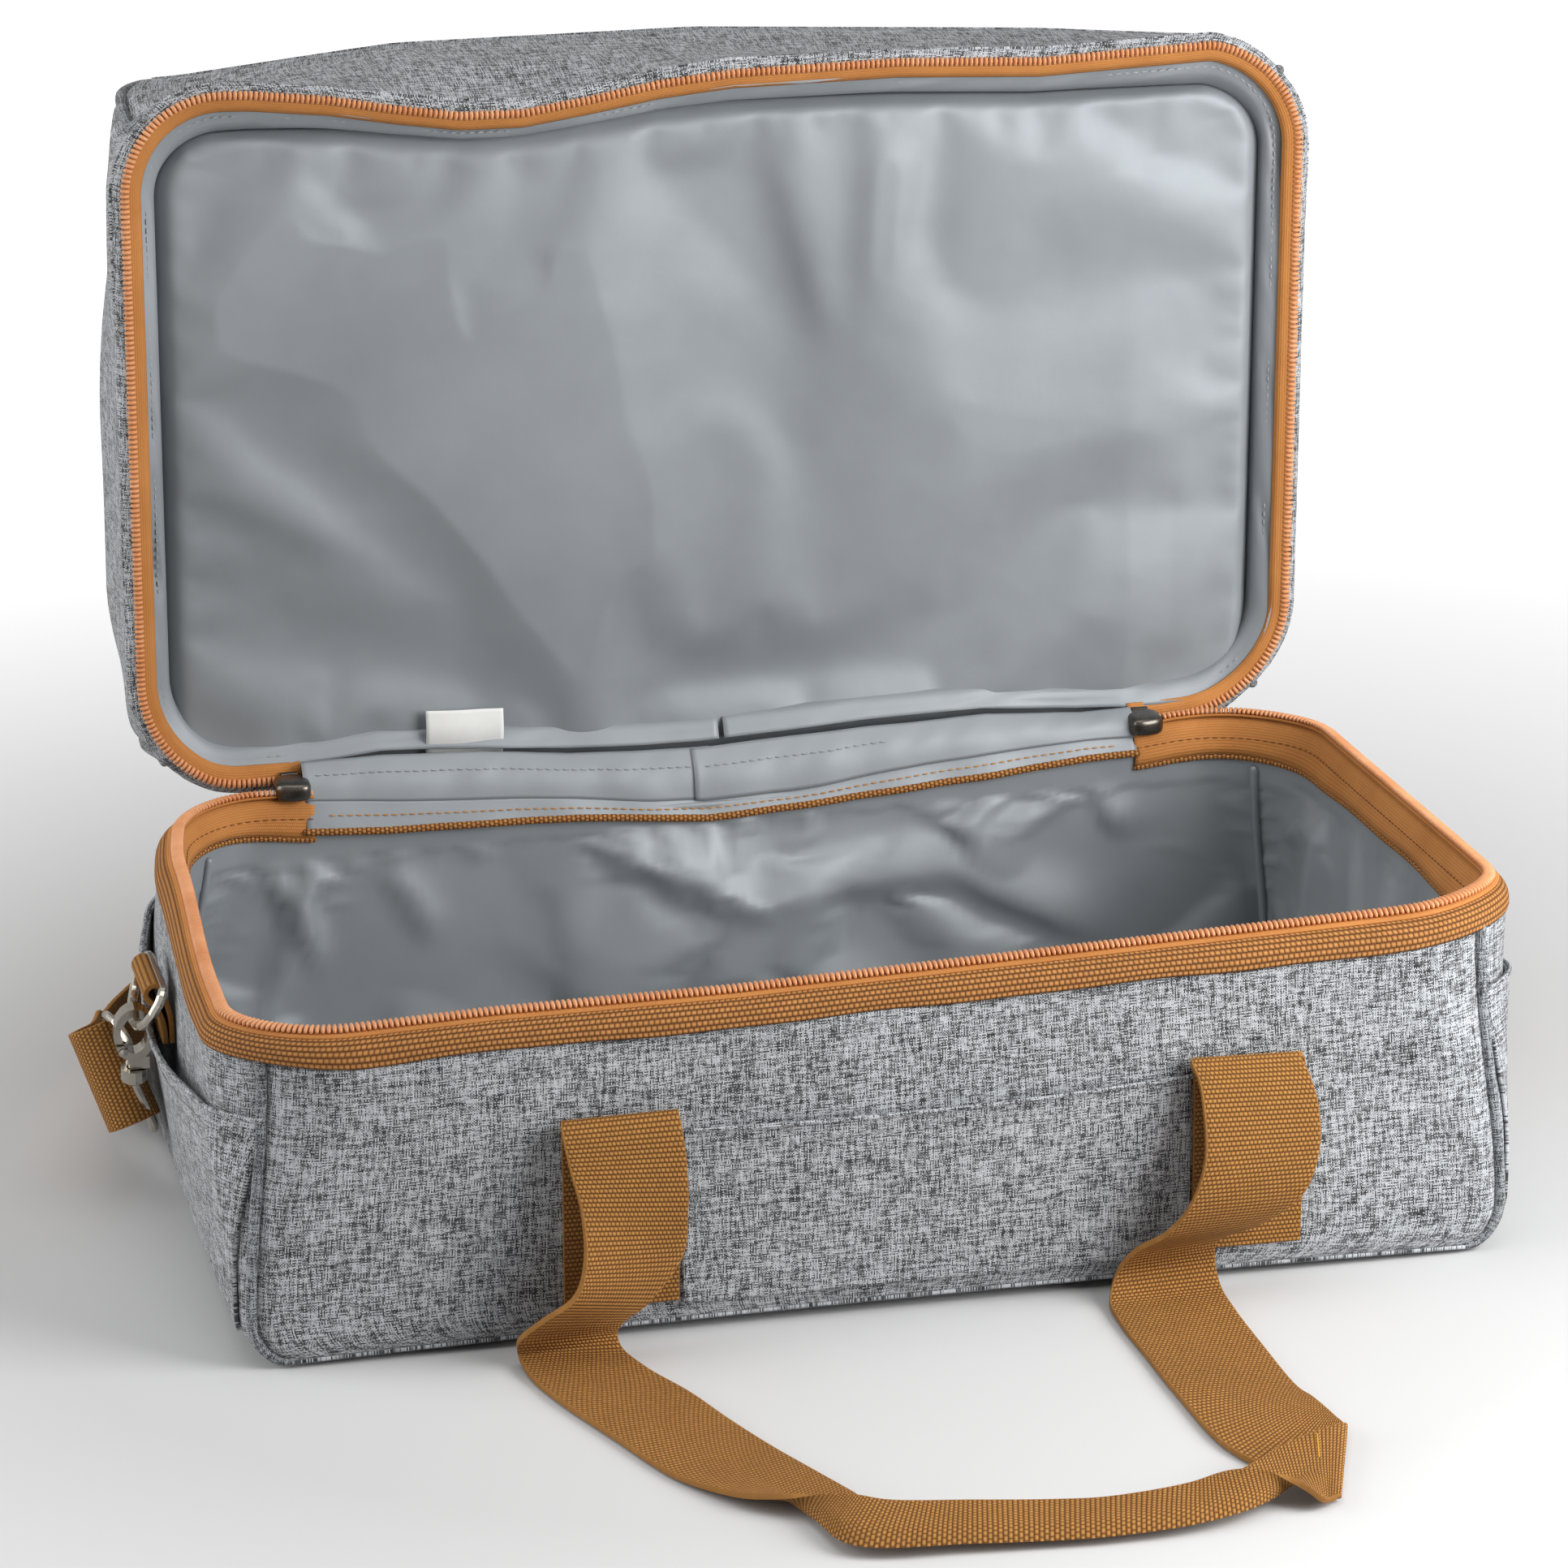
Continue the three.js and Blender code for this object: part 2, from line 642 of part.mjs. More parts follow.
// Ribbon through [point, across, share of grip] stations, rounded between them.
function ribbonBody(stations, sectionOf, settle, stepsPer) {
  const path = new THREE.CatmullRomCurve3(stations.map((s) => s[0]), false, 'centripetal');
  const spans = stations.length - 1;
  const points = [];
  const across = [];
  const sections = [];
  for (let i = 0; i <= spans * stepsPer; i += 1) {
    const place = i / stepsPer;
    const k = Math.min(Math.floor(place), spans - 1);
    const share = place - k;
    const turned = stations[k][1].clone().lerp(stations[k + 1][1], share);
    points.push(path.getPoint(place / spans));
    across.push(settle(turned, path.getTangent(place / spans)));
    sections.push(sectionOf(mix(stations[k][2], stations[k + 1][2], share)));
  }
  return sweepBody(points, (i) => sections[i], (i) => across[i], false);
}

// Webbing lying down keeps its width level wherever it runs along the floor.
function layLevel(across, tangent) {
  const ground = vec(tangent.x, tangent.y, 0);
  const share = THREE.MathUtils.smoothstep(ground.length(), 0.25, 0.7);
  ground.normalize();
  return across.addScaledVector(ground, -share * across.dot(ground));
}

function handleSection(grip) {
  return stripSection(mix(webbingWidth, gripWidth, grip), mix(webbingThickness, gripThickness, grip));
}

for (const [name, front] of [['front', -1], ['rear', 1]]) {
  const tailHeight = foldHeight - tailDrop - tailFoot;
  const tailY = front * (bagDepth / 2 + layerGap + webbingThickness / 2);
  for (const [label2, end] of [['left', -1], ['right', 1]]) {
    const tail = addMesh(bag, `${name}_${label2}_handle_tail`, box(webbingWidth, webbingThickness, tailHeight), webbing);
    tail.position.set(handleOffset + (end * handleSpan) / 2, tailY, tailFoot + tailHeight / 2);
  }
  addMesh(bag, `${name}_handle`, ribbonBody(handlePath(front), handleSection, layLevel, 2), webbing);
}

const pocketWidth = handleSpan - webbingWidth - 2 * layerGap;
const pocketRise = frontPocketHeight - frontPocketFoot;
const frontPocket = addMesh(bag, 'front_pocket', box(pocketWidth, pocketThickness, pocketRise), melange);
frontPocket.position.set(
  handleOffset,
  frontFace - layerGap - pocketThickness / 2,
  frontPocketFoot + pocketRise / 2,
);

// End pocket: sewn down at its foot and sides, gaping along its dipped mouth.
function sidePocket(side) {
  const columns = 8;
  const rows = 5;
  const skin = (lift) => {
    const grid = [];
    for (let r = 0; r <= rows; r += 1) {
      const row = [];
      for (let c = 0; c <= columns; c += 1) {
        const across = (2 * c) / columns - 1;
        const mouth = sidePocketHeight - sidePocketDip * across * across;
        const rise = r / rows;
        const gape = sidePocketGape * rise * rise * (1 - across * across);
        const x = side * (bagLength / 2 + layerGap + gape + lift);
        row.push(vec(x, (side * across * sidePocketWidth) / 2, mix(sidePocketFoot, mouth, rise)));
      }
      grid.push(row);
    }
    return grid;
  };
  return sheetBody(skin(pocketThickness), skin(0));
}

// Strap hardware on one end of the bag; out is measured from the end panel.
function addStrapHardware(side, name) {
  const at = (out, back, up) => vec(side * (bagLength / 2 + out), back, up);
  const toward = (out, back, up) => vec(side * out, back, up).normalize();
  const hookAxis = toward(0, Math.sin(degrees(hookLean)), -Math.cos(degrees(hookLean)));
  const wireSeat = eyeBoreHalfLength - ringWire / 2 - ringSlack;
  const ringBow = at(ringBowStandoff, ringY, ringBowHeight);
  const eyeCentre = ringBow.clone().addScaledVector(hookAxis, wireSeat);

  addMesh(bag, `${name}_pocket`, sidePocket(side), melange);

  // Webbing tab folded round the ring's straight bar
  const bore = ringWire / 2 + swivelClearance;
  const tabRadius = bore + tabThickness;
  const spread = Math.asin(tabThickness / tabRadius);
  const tab = new THREE.Shape();
  const tabFace = layerGap + tabThickness;
  tab.moveTo(layerGap, ringHeight - tabDrop);
  tab.lineTo(tabFace, ringHeight - tabDrop);
  tab.lineTo(tabFace, ringHeight - tabThickness);
  tab.absarc(ringStandoff, ringHeight, tabRadius, Math.PI + spread, 3 * Math.PI - spread, false);
  tab.lineTo(tabFace, ringHeight + tabThickness);
  tab.lineTo(tabFace, ringHeight + tabRise);
  tab.lineTo(layerGap, ringHeight + tabRise);
  tab.closePath();
  const tabBore = new THREE.Path();
  tabBore.absarc(ringStandoff, ringHeight, bore, 0, Math.PI * 2, true);
  tab.holes.push(tabBore);
  const tabMesh = addMesh(bag, `${name}_ring_tab`, extruded(tab, tabWidth, 6), webbing);
  const tabFrame = new THREE.Matrix4().makeBasis(vec(side, 0, 0), vec(0, 0, 1), vec(0, -side, 0));
  tabMesh.quaternion.setFromRotationMatrix(tabFrame);
  tabMesh.position.copy(at(0, ringY, 0));

  // D-ring
  const ringBar = at(ringStandoff, ringY, ringHeight);
  const hang = ringBow.clone().sub(ringBar);
  const ringDrop = hang.length();
  hang.normalize();
  const ringPath = new THREE.Path();
  const bowHalf = ringBarHalf + ringCornerRadius;
  ringPath.moveTo(-ringBarHalf, 0);
  ringPath.lineTo(ringBarHalf, 0);
  ringPath.absarc(ringBarHalf, ringCornerRadius, ringCornerRadius, -Math.PI / 2, 0, false);
  ringPath.absellipse(0, ringCornerRadius, bowHalf, ringDrop - ringCornerRadius, 0, Math.PI, false);
  ringPath.absarc(-ringBarHalf, ringCornerRadius, ringCornerRadius, Math.PI, 1.5 * Math.PI, false);
  const ringPoints = [];
  for (const p of ringPath.getPoints(5)) {
    const point = ringBar.clone().addScaledVector(vec(0, 1, 0), p.x).addScaledVector(hang, p.y);
    const last = ringPoints[ringPoints.length - 1];
    if (!last || last.distanceTo(point) > ringWire / 4) {
      ringPoints.push(point);
    }
  }
  if (ringPoints[0].distanceTo(ringPoints[ringPoints.length - 1]) < ringWire / 4) {
    ringPoints.pop();
  }
  const ringNormal = hang.clone().cross(vec(0, 1, 0));
  const dRing = sweepBody(ringPoints, () => circleSection(ringWire / 2), () => ringNormal, true);
  addMesh(bag, `${name}_d_ring`, dRing, nickel);

  // Hook, drawn with its eye at the origin and its stud along +Y
  const hook = new THREE.Group();
  const lateral = toward(1, 0, 0);
  hook.quaternion.setFromRotationMatrix(
    new THREE.Matrix4().makeBasis(lateral, hookAxis, lateral.clone().cross(hookAxis)),
  );
  hook.position.copy(eyeCentre);
  bag.add(hook);
  addMesh(hook, `${name}_hook`, hookBody(), nickel);
  addMesh(hook, `${name}_hook_gate`, hookGate(), nickel);
  const rivet = addMesh(hook, `${name}_gate_rivet`, gateRivet(), nickel);
  rivet.rotation.x = Math.PI / 2;
  rivet.position.copy(gatePivot());

  // Bail: a wire loop fixed to the swivel collar by its near side, with the strap bar at its far side
  const collarPlace = (neckEnd + studEnd) / 2;
  const swivel = eyeCentre.clone().addScaledVector(hookAxis, collarPlace);
  const rearward = toward(0, Math.cos(degrees(hookLean)), Math.sin(degrees(hookLean)));
  const middle = at(bailMiddle.out, bailMiddle.back, bailMiddle.up);
  const slope = toward(bailSlope.out, bailSlope.back, bailSlope.up);
  const nearSide = (out, back, down) =>
    swivel
      .clone()
      .addScaledVector(lateral, out)
      .addScaledVector(rearward, back)
      .addScaledVector(hookAxis, down);
  const barAt = (share) => middle.clone().addScaledVector(slope, (share * bailWidth) / 2);
  const bailPoints = [
    nearSide(0, bailSeat, 0),
    nearSide(-0.4, bailSeat, 7),
    nearSide(-3.6, bailSeat + 0.2, 16),
    nearSide(-7.4, bailSeat + 1, 27),
    barAt(1).lerp(nearSide(-8.4, bailSeat + 2, 33), 0.55),
    barAt(0.99),
    barAt(0.8),
    barAt(0),
    barAt(-0.8),
    barAt(-0.99),
    barAt(-1).lerp(nearSide(1, bailSeat, -11), 0.55),
    nearSide(1, bailSeat, -8),
  ];
  const bailPath = new THREE.CatmullRomCurve3(bailPoints, true, 'centripetal').getPoints(32).slice(0, -1);
  const bailNormal = rearward.clone().cross(slope);
  const wire = sweepBody(bailPath, () => circleSection(bailWire / 2), () => bailNormal, true);
  const collarFrame = new THREE.Matrix4().makeRotationFromQuaternion(hook.quaternion).setPosition(swivel);
  const collar = new THREE.CylinderGeometry(collarDiameter / 2, collarDiameter / 2, collarHeight, 12);
  const collarBore = studDiameter / 2 + swivelClearance;
  const collarHole = new THREE.CylinderGeometry(collarBore, collarBore, collarHeight * 2, 12);
  const bail = solid(collar.applyMatrix4(collarFrame))
    .add(solid(wire))
    .subtract(solid(collarHole.applyMatrix4(collarFrame)));
  addMesh(bag, `${name}_bail`, geometryOf(bail), nickel);
}

// Strap end: a roomy loop round the bail bar, then away along the end of the bag
function strapLoop(side) {
  const slope = vec(side * bailSlope.out, bailSlope.back, bailSlope.up).normalize();
  const middle = vec(side * (bagLength / 2 + bailMiddle.out), bailMiddle.back, bailMiddle.up);
  const rear = vec(0, 1, 0);
  const outward = rear.clone().cross(slope).multiplyScalar(-side).normalize();
  const stations = [
    [-1, 30],
    [-2.4, 18],
    [-3.4, 6],
    [-2.8, -2],
    [0.6, -4.2],
    [5, -1.5],
    [8.6, 6],
    [8.2, 14],
    [5.2, 23],
    [2.6, 31],
  ];
  return stations.map(([out, back]) => [
    middle.clone().addScaledVector(outward, out).addScaledVector(rear, back),
    slope,
    0,
  ]);
}

function strapSection() {
  return stripSection(strapWidth, strapThickness);
}

function gatePivot() {
  const rx = (eyeHalfWidth + eyeBoreHalfWidth) / 2;
  const ry = (eyeHalfLength + eyeBoreHalfLength) / 2;
  return vec(rx * Math.cos(degrees(gateHeelAngle)), ry * Math.sin(degrees(gateHeelAngle)), 0);
}

// Hook body: eye with a mouth on its outer side, forked at the gate's heel, neck and swivel stud
function hookBody() {
  const eye = new THREE.Shape();
  eye.absellipse(0, 0, eyeHalfWidth, eyeHalfLength, 0, Math.PI * 2, false);
  const bore = new THREE.Path();
  bore.absellipse(0, 0, eyeBoreHalfWidth, eyeBoreHalfLength, 0, Math.PI * 2, true);
  eye.holes.push(bore);
  const pivot = gatePivot();
  const tipY = -eyeHalfLength * Math.sin(degrees(gateTipAngle));
  const heelY = pivot.y - rivetHeadDiameter / 2 - gateClearance;
  const mouth = box(eyeHalfWidth * 2, heelY - tipY, hookThickness * 2);
  mouth.translate(eyeHalfWidth, (heelY + tipY) / 2, 0);
  const forkTop = pivot.y + rivetHeadDiameter;
  const fork = box(eyeHalfWidth * 2, forkTop - tipY, gateThickness + 2 * gateClearance);
  fork.translate(pivot.x - rivetHeadDiameter / 2 + eyeHalfWidth, (forkTop + tipY) / 2, 0);
  const rivetBore = rivetDiameter / 2 + layerGap;
  const hole = new THREE.CylinderGeometry(rivetBore, rivetBore, hookThickness * 2, 10);
  hole.rotateX(Math.PI / 2).translate(pivot.x, pivot.y, 0);
  const neckStart = (eyeHalfLength + eyeBoreHalfLength) / 2;
  const neck = box(neckWidth, neckEnd - neckStart, hookThickness);
  neck.translate(-neckWidth / 4, (neckEnd + neckStart) / 2, 0);
  const studRadius = studDiameter / 2;
  const headRadius = studHeadDiameter / 2;
  const stud = new THREE.LatheGeometry(
    [
      flat(0, neckStart),
      flat(studRadius, neckStart),
      flat(studRadius, studEnd),
      flat(headRadius, studEnd),
      flat(headRadius * 0.6, studEnd + studHeadHeight),
      flat(0, studEnd + studHeadHeight),
    ],
    12,
  );
  const body = solid(extruded(eye, hookThickness, 10))
    .add(solid(neck))
    .subtract(solid(mouth))
    .subtract(solid(fork))
    .subtract(solid(hole))
    .add(solid(stud));
  return geometryOf(body);
}

// Gate: an arm along the open side of the eye from its heel eyelet to the tip
function hookGate() {
  const pivot = gatePivot();
  const tip = degrees(gateTipAngle) - gateClearance / eyeHalfLength;
  const heel = degrees(gateHeelAngle);
  const arm = new THREE.Shape();
  const steps = 6;
  for (let i = 0; i <= steps; i += 1) {
    const angle = mix(-tip, heel, i / steps);
    const x = eyeHalfWidth * Math.cos(angle);
    const y = eyeHalfLength * Math.sin(angle);
    if (i === 0) {
      arm.moveTo(x, y);
    } else {
      arm.lineTo(x, y);
    }
  }
  for (let i = steps; i >= 0; i -= 1) {
    const angle = mix(-tip, heel, i / steps);
    const y = Math.max(eyeBoreHalfLength * Math.sin(angle), -eyeHalfLength * Math.sin(tip));
    arm.lineTo(eyeBoreHalfWidth * Math.cos(angle), y);
  }
  arm.closePath();
  const eyelet = new THREE.CylinderGeometry(rivetHeadDiameter / 2, rivetHeadDiameter / 2, gateThickness, 12);
  eyelet.rotateX(Math.PI / 2).translate(pivot.x, pivot.y, 0);
  const bore = rivetDiameter / 2 + layerGap;
  const hole = new THREE.CylinderGeometry(bore, bore, gateThickness * 2, 10);
  hole.rotateX(Math.PI / 2).translate(pivot.x, pivot.y, 0);
  const gate = solid(extruded(arm, gateThickness, 4)).add(solid(eyelet)).subtract(solid(hole));
  return geometryOf(gate);
}

function gateRivet() {
  const shank = hookThickness / 2 + layerGap;
  const radius = rivetDiameter / 2;
  const head = rivetHeadDiameter / 2;
  return new THREE.LatheGeometry(
    [
      flat(0, -shank - rivetHeadHeight),
      flat(head, -shank),
      flat(radius, -shank),
      flat(radius, shank),
      flat(head, shank),
      flat(0, shank + rivetHeadHeight),
    ],
    10,
  );
}

addStrapHardware(-1, 'left');
addStrapHardware(1, 'right');

// The strap in one run from loop to loop, on edge behind the bag, parted where each end leaves its bail
const strapHalf = [
  [17.6, 84, 0.48, 0.5],
  [15.5, 108, 0.16, 0.85],
  [9, 136, 0, 1],
  [-12, 176, 0, 1],
  [-42, 232, 0, 1],
  [-60, 292, 0, 1],
  [-94, strapBack - 22, 0, 1],
  [-150, strapBack - 3, 0, 1],
];
const strapRun = (side) => [
  ...strapLoop(side),
  ...strapHalf.map(([out, back, rise, turn]) => [
    vec(side * (bagLength / 2 + out), back, mix(strapHeight, bailMiddle.up, rise)),
    vec(side * bailSlope.out, bailSlope.back, bailSlope.up).lerp(vec(0, 0, -1), turn),
    0,
  ]),
];
const strapPath = [
  ...strapRun(-1),
  [vec(-2 * adjusterPitch, strapBack, adjusterHeight), vec(0, 0, -1), 0],
  [vec(2 * adjusterPitch, strapBack, adjusterHeight), vec(0, 0, -1), 0],
  ...strapRun(1).reverse(),
];
const wholeStrap = solid(ribbonBody(strapPath, strapSection, (across) => across, 3));
const endSpace = box(bagLength, bagDepth, bagLength);
for (const [name, side] of [['left', -1], ['right', 1]]) {
  const space = endSpace.clone();
  space.translate((side * bagLength) / 2, strapSplit - bagDepth / 2 - layerGap / 2, 0);
  addMesh(bag, `${name}_strap_end`, geometryOf(wholeStrap.intersect(solid(space))), webbing);
}
const frontSpace = box(2 * bagLength, bagDepth, bagLength);
frontSpace.translate(0, strapSplit - bagDepth / 2 + layerGap / 2, 0);
addMesh(bag, 'shoulder_strap', geometryOf(wholeStrap.subtract(solid(frontSpace))), webbing);

// Three-bar adjuster threaded on the strap behind the bag
function adjusterBody() {
  const radius = adjusterWire / 2;
  const gap = strapThickness / 2 + layerGap + radius;
  const rail = strapWidth / 2 + layerGap + radius;
  const bar = new THREE.CylinderGeometry(radius, radius, 2 * rail, wireSides);
  bar.rotateX(Math.PI / 2);
  const end = box(2 * adjusterPitch + adjusterWire, 2 * gap + adjusterWire, adjusterWire);
  let body = solid(end.clone().translate(0, 0, -rail)).add(solid(end.clone().translate(0, 0, rail)));
  for (const [place, face] of [[-adjusterPitch, 1], [0, -1], [adjusterPitch, 1]]) {
    body = body.add(solid(bar.clone().translate(place, face * gap, 0)));
  }
  return geometryOf(body);
}
const adjuster = addMesh(bag, 'strap_adjuster', adjusterBody(), darkMetal);
adjuster.position.set(0, strapBack, adjusterHeight);

// Sliders and pull tabs at the two zip ends
for (const [name, side] of [['left', -1], ['right', 1]]) {
  const frame = new THREE.Matrix4().makeBasis(vec(0, 1, 0), vec(0, 0, 1), vec(1, 0, 0));
  const coilY = bagDepth / 2 - coilInset;
  const sliderX = side * (hingeLength / 2 + layerGap + sliderLength / 2);
  const coilZ = bindingTop + coilLift;
  const slider = addMesh(bag, `${name}_zip_slider`, sliderBody(), darkMetal);
  slider.quaternion.setFromRotationMatrix(frame);
  slider.position.set(sliderX, coilY, coilZ);
  const pull = addMesh(bag, `${name}_zip_pull`, pullTab(), darkMetal);
  pull.quaternion.setFromRotationMatrix(frame);
  const pinZ = coilZ + coilRadius + sliderClearance;
  pull.position.set(sliderX, coilY + sliderBridge + pullPinReach, pinZ);
}

export default bag;
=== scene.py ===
import math

import bpy
import numpy as np
from mathutils import Matrix, Vector


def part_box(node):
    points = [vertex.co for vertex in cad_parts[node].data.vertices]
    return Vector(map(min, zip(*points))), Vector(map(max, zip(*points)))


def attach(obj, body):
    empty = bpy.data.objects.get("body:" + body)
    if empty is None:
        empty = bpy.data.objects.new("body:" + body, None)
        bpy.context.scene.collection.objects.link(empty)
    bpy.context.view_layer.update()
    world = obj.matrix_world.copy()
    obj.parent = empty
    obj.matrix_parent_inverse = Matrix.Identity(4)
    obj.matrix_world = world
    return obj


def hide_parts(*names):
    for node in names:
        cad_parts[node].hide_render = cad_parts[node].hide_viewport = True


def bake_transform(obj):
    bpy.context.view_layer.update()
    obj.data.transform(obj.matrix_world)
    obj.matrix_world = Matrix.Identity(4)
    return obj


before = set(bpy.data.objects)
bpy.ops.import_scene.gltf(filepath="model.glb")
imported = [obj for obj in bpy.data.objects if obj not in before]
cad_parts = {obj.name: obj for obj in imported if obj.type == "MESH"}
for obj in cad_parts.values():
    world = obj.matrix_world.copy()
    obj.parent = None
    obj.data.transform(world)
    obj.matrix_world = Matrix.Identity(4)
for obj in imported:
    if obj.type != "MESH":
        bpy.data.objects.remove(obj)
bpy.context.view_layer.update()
bpy.ops.object.select_all(action="DESELECT")
scene = bpy.context.scene
scene.view_settings.view_transform = "Standard"
print("frame loaded,", len(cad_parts), "solids")

# the camera stands where the photograph was taken from
photoCamera = {"place": (-0.443, -1.895, 0.770), "yaw": 12.98, "pitch": 17.77, "roll": -0.47,
               "focal": 7182.0, "frame": 1932.0, "sensor": 36.0}


def addCamera():
    yaw, pitch, roll = (math.radians(photoCamera[key]) for key in ("yaw", "pitch", "roll"))
    ahead = Vector((math.sin(yaw) * math.cos(pitch), math.cos(yaw) * math.cos(pitch), -math.sin(pitch)))
    right = Vector((math.cos(yaw), -math.sin(yaw), 0))
    up = right.cross(ahead)
    turned = right * math.cos(roll) + up * math.sin(roll)
    raised = up * math.cos(roll) - right * math.sin(roll)
    bpy.ops.object.camera_add(location=photoCamera["place"])
    camera = bpy.context.object
    facing = Matrix((turned, raised, -ahead)).transposed().to_4x4()
    camera.matrix_world = Matrix.Translation(photoCamera["place"]) @ facing
    camera.data.sensor_width = photoCamera["sensor"]
    camera.data.lens = photoCamera["focal"] / photoCamera["frame"] * photoCamera["sensor"]
    camera.data.clip_start, camera.data.clip_end = 0.05, 40
    scene.camera = camera


addCamera()

# small tools, lengths in millimetres until a mesh is made


def smooth(low, high, value):
    share = np.clip((value - low) / (high - low), 0, 1)
    return share * share * (3 - 2 * share)


def vector(*parts):
    return np.array(parts, dtype=float)


def unit(rows):
    return rows / np.maximum(np.linalg.norm(rows, axis=-1, keepdims=True), 1e-9)


def lengthAlong(line):
    return np.concatenate([[0], np.cumsum(np.linalg.norm(np.diff(line, axis=0), axis=1))])


# even steps along a line of stations, any extra columns carried along
def evenSteps(line, count, start=0.0, end=None):
    run = lengthAlong(line[:, :3])
    spots = np.linspace(start, run[-1] if end is None else end, count)
    return np.stack([np.interp(spots, run, line[:, k]) for k in range(line.shape[1])], axis=1)


# smooth curve through stations, their extra columns rounded with them
def roundedPath(stations, count):
    rows = np.array(stations, dtype=float)
    knots = np.concatenate([[0], np.cumsum(np.linalg.norm(np.diff(rows[:, :3], axis=0), axis=1) ** 0.5)])
    slopes = np.gradient(rows, knots, axis=0)
    spots = np.linspace(0, knots[-1], 4 * count)
    k = np.clip(np.searchsorted(knots, spots, side="right") - 1, 0, len(rows) - 2)
    step = (knots[k + 1] - knots[k])[:, None]
    s = (spots - knots[k])[:, None] / step
    curve = ((2 * s ** 3 - 3 * s ** 2 + 1) * rows[k] + (s ** 3 - 2 * s ** 2 + s) * step * slopes[k]
             + (3 * s ** 2 - 2 * s ** 3) * rows[k + 1] + (s ** 3 - s ** 2) * step * slopes[k + 1])
    return evenSteps(curve, count)


# soft random swell, the same on every run
def ripple(a, b, seed, size, height):
    dice = np.random.default_rng(seed)
    total = 0
    for turn, stretch, phase in zip(dice.uniform(0, math.tau, 7), dice.uniform(0.7, 1.8, 7),
                                    dice.uniform(0, math.tau, 7)):
        total = total + np.sin((a * math.cos(turn) + b * math.sin(turn)) * math.tau / (size * stretch) + phase)
    return total * height / 4


# folds as ridges: from, to, width, height, steeper on one side
def foldField(a, b, folds):
    total = np.zeros(np.broadcast(a, b).shape)
    for a0, b0, a1, b1, width, height in folds:
        run = math.hypot(a1 - a0, b1 - b0)
        ta, tb = (a1 - a0) / run, (b1 - b0) / run
        along = ((a - a0) * ta + (b - b0) * tb) / run
        off = (b - b0) * ta - (a - a0) * tb
        off = np.where(off > 0, off / width, off / (0.5 * width))
        total = total + height * np.exp(-off ** 2) * smooth(-0.2, 0.3, along) * smooth(1.2, 0.7, along)
    return total


def useModifier(piece, kind, **settings):
    bpy.context.view_layer.objects.active = piece
    bpy.ops.object.modifier_add(type=kind)
    modifier = piece.modifiers[-1]
    for key, value in settings.items():
        setattr(modifier, key, value)
    bpy.ops.object.modifier_apply(modifier=modifier.name)


# runs one editing operator on the whole of the active mesh
def editAll(operator, **settings):
    bpy.ops.object.mode_set(mode="EDIT")
    bpy.ops.mesh.select_all(action="SELECT")
    operator(**settings)
    bpy.ops.object.mode_set(mode="OBJECT")


def pickOnly(piece):
    bpy.ops.object.select_all(action="DESELECT")
    piece.select_set(True)
    bpy.context.view_layer.objects.active = piece


def meshSpots(piece):
    spots = np.empty(len(piece.data.vertices) * 3)
    piece.data.vertices.foreach_get("co", spots)
    return spots.reshape(-1, 3) * 1000


def moveSpots(piece, spots):
    piece.data.vertices.foreach_set("co", (spots * 0.001).ravel())
    piece.data.update()


# a grid whose vertices are moved to a table of places, its UV map in metres
def clothSheet(name, table, closed=False, span=0.0):
    rows, columns = table.shape[:2]
    bpy.ops.object.select_all(action="DESELECT")
    bpy.ops.mesh.primitive_grid_add(x_subdivisions=columns - 1, y_subdivisions=rows - 1, size=1)
    piece = bpy.context.object
    piece.name = piece.data.name = name
    mesh = piece.data
    spots = meshSpots(piece) * 0.001
    column = np.rint((spots[:, 0] + 0.5) * (columns - 1)).astype(int)
    row = np.rint((spots[:, 1] + 0.5) * (rows - 1)).astype(int)
    across, rise = lengthAlong(table[rows // 2]) * 0.001, lengthAlong(table[:, columns // 2]) * 0.001
    if span:
        across = across / across[-1] * span
    corner = np.empty(len(mesh.loops), dtype=np.int32)
    mesh.loops.foreach_get("vertex_index", corner)
    spread = np.column_stack([across[column[corner]], rise[row[corner]]])
    mesh.uv_layers.active.data.foreach_set("uv", spread.ravel())
    moveSpots(piece, table[row, column])
    if closed:
        editAll(bpy.ops.mesh.remove_doubles, threshold=2e-6)
    return piece


# a piece that rides on no single body is left unattached here, and its caller bakes its transform
def finishPiece(piece, finish, body, slotName, nodes=(), angle=None):
    pickOnly(piece)
    piece.data.materials.clear()
    piece.data.materials.append(finish)
    if angle is None:
        bpy.ops.object.shade_smooth()
    else:
        bpy.ops.object.shade_smooth_by_angle(angle=math.radians(angle))
    piece.select_set(False)
    if body:
        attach(piece, body)
    if nodes:
        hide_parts(*nodes)
    return piece


# gives a sheet its thickness, then finishes it
def sewSheet(piece, thickness, offset, *finish, **settings):
    useModifier(piece, "SOLIDIFY", thickness=thickness, offset=offset)
    return finishPiece(piece, *finish, **settings)


# frames along a path from a hint of which way is up
def pathFrames(path, hint):
    ahead = unit(np.gradient(path, axis=0))
    up = np.broadcast_to(hint, path.shape)
    side = unit(np.cross(up, ahead))
    return ahead, side, np.cross(ahead, side)


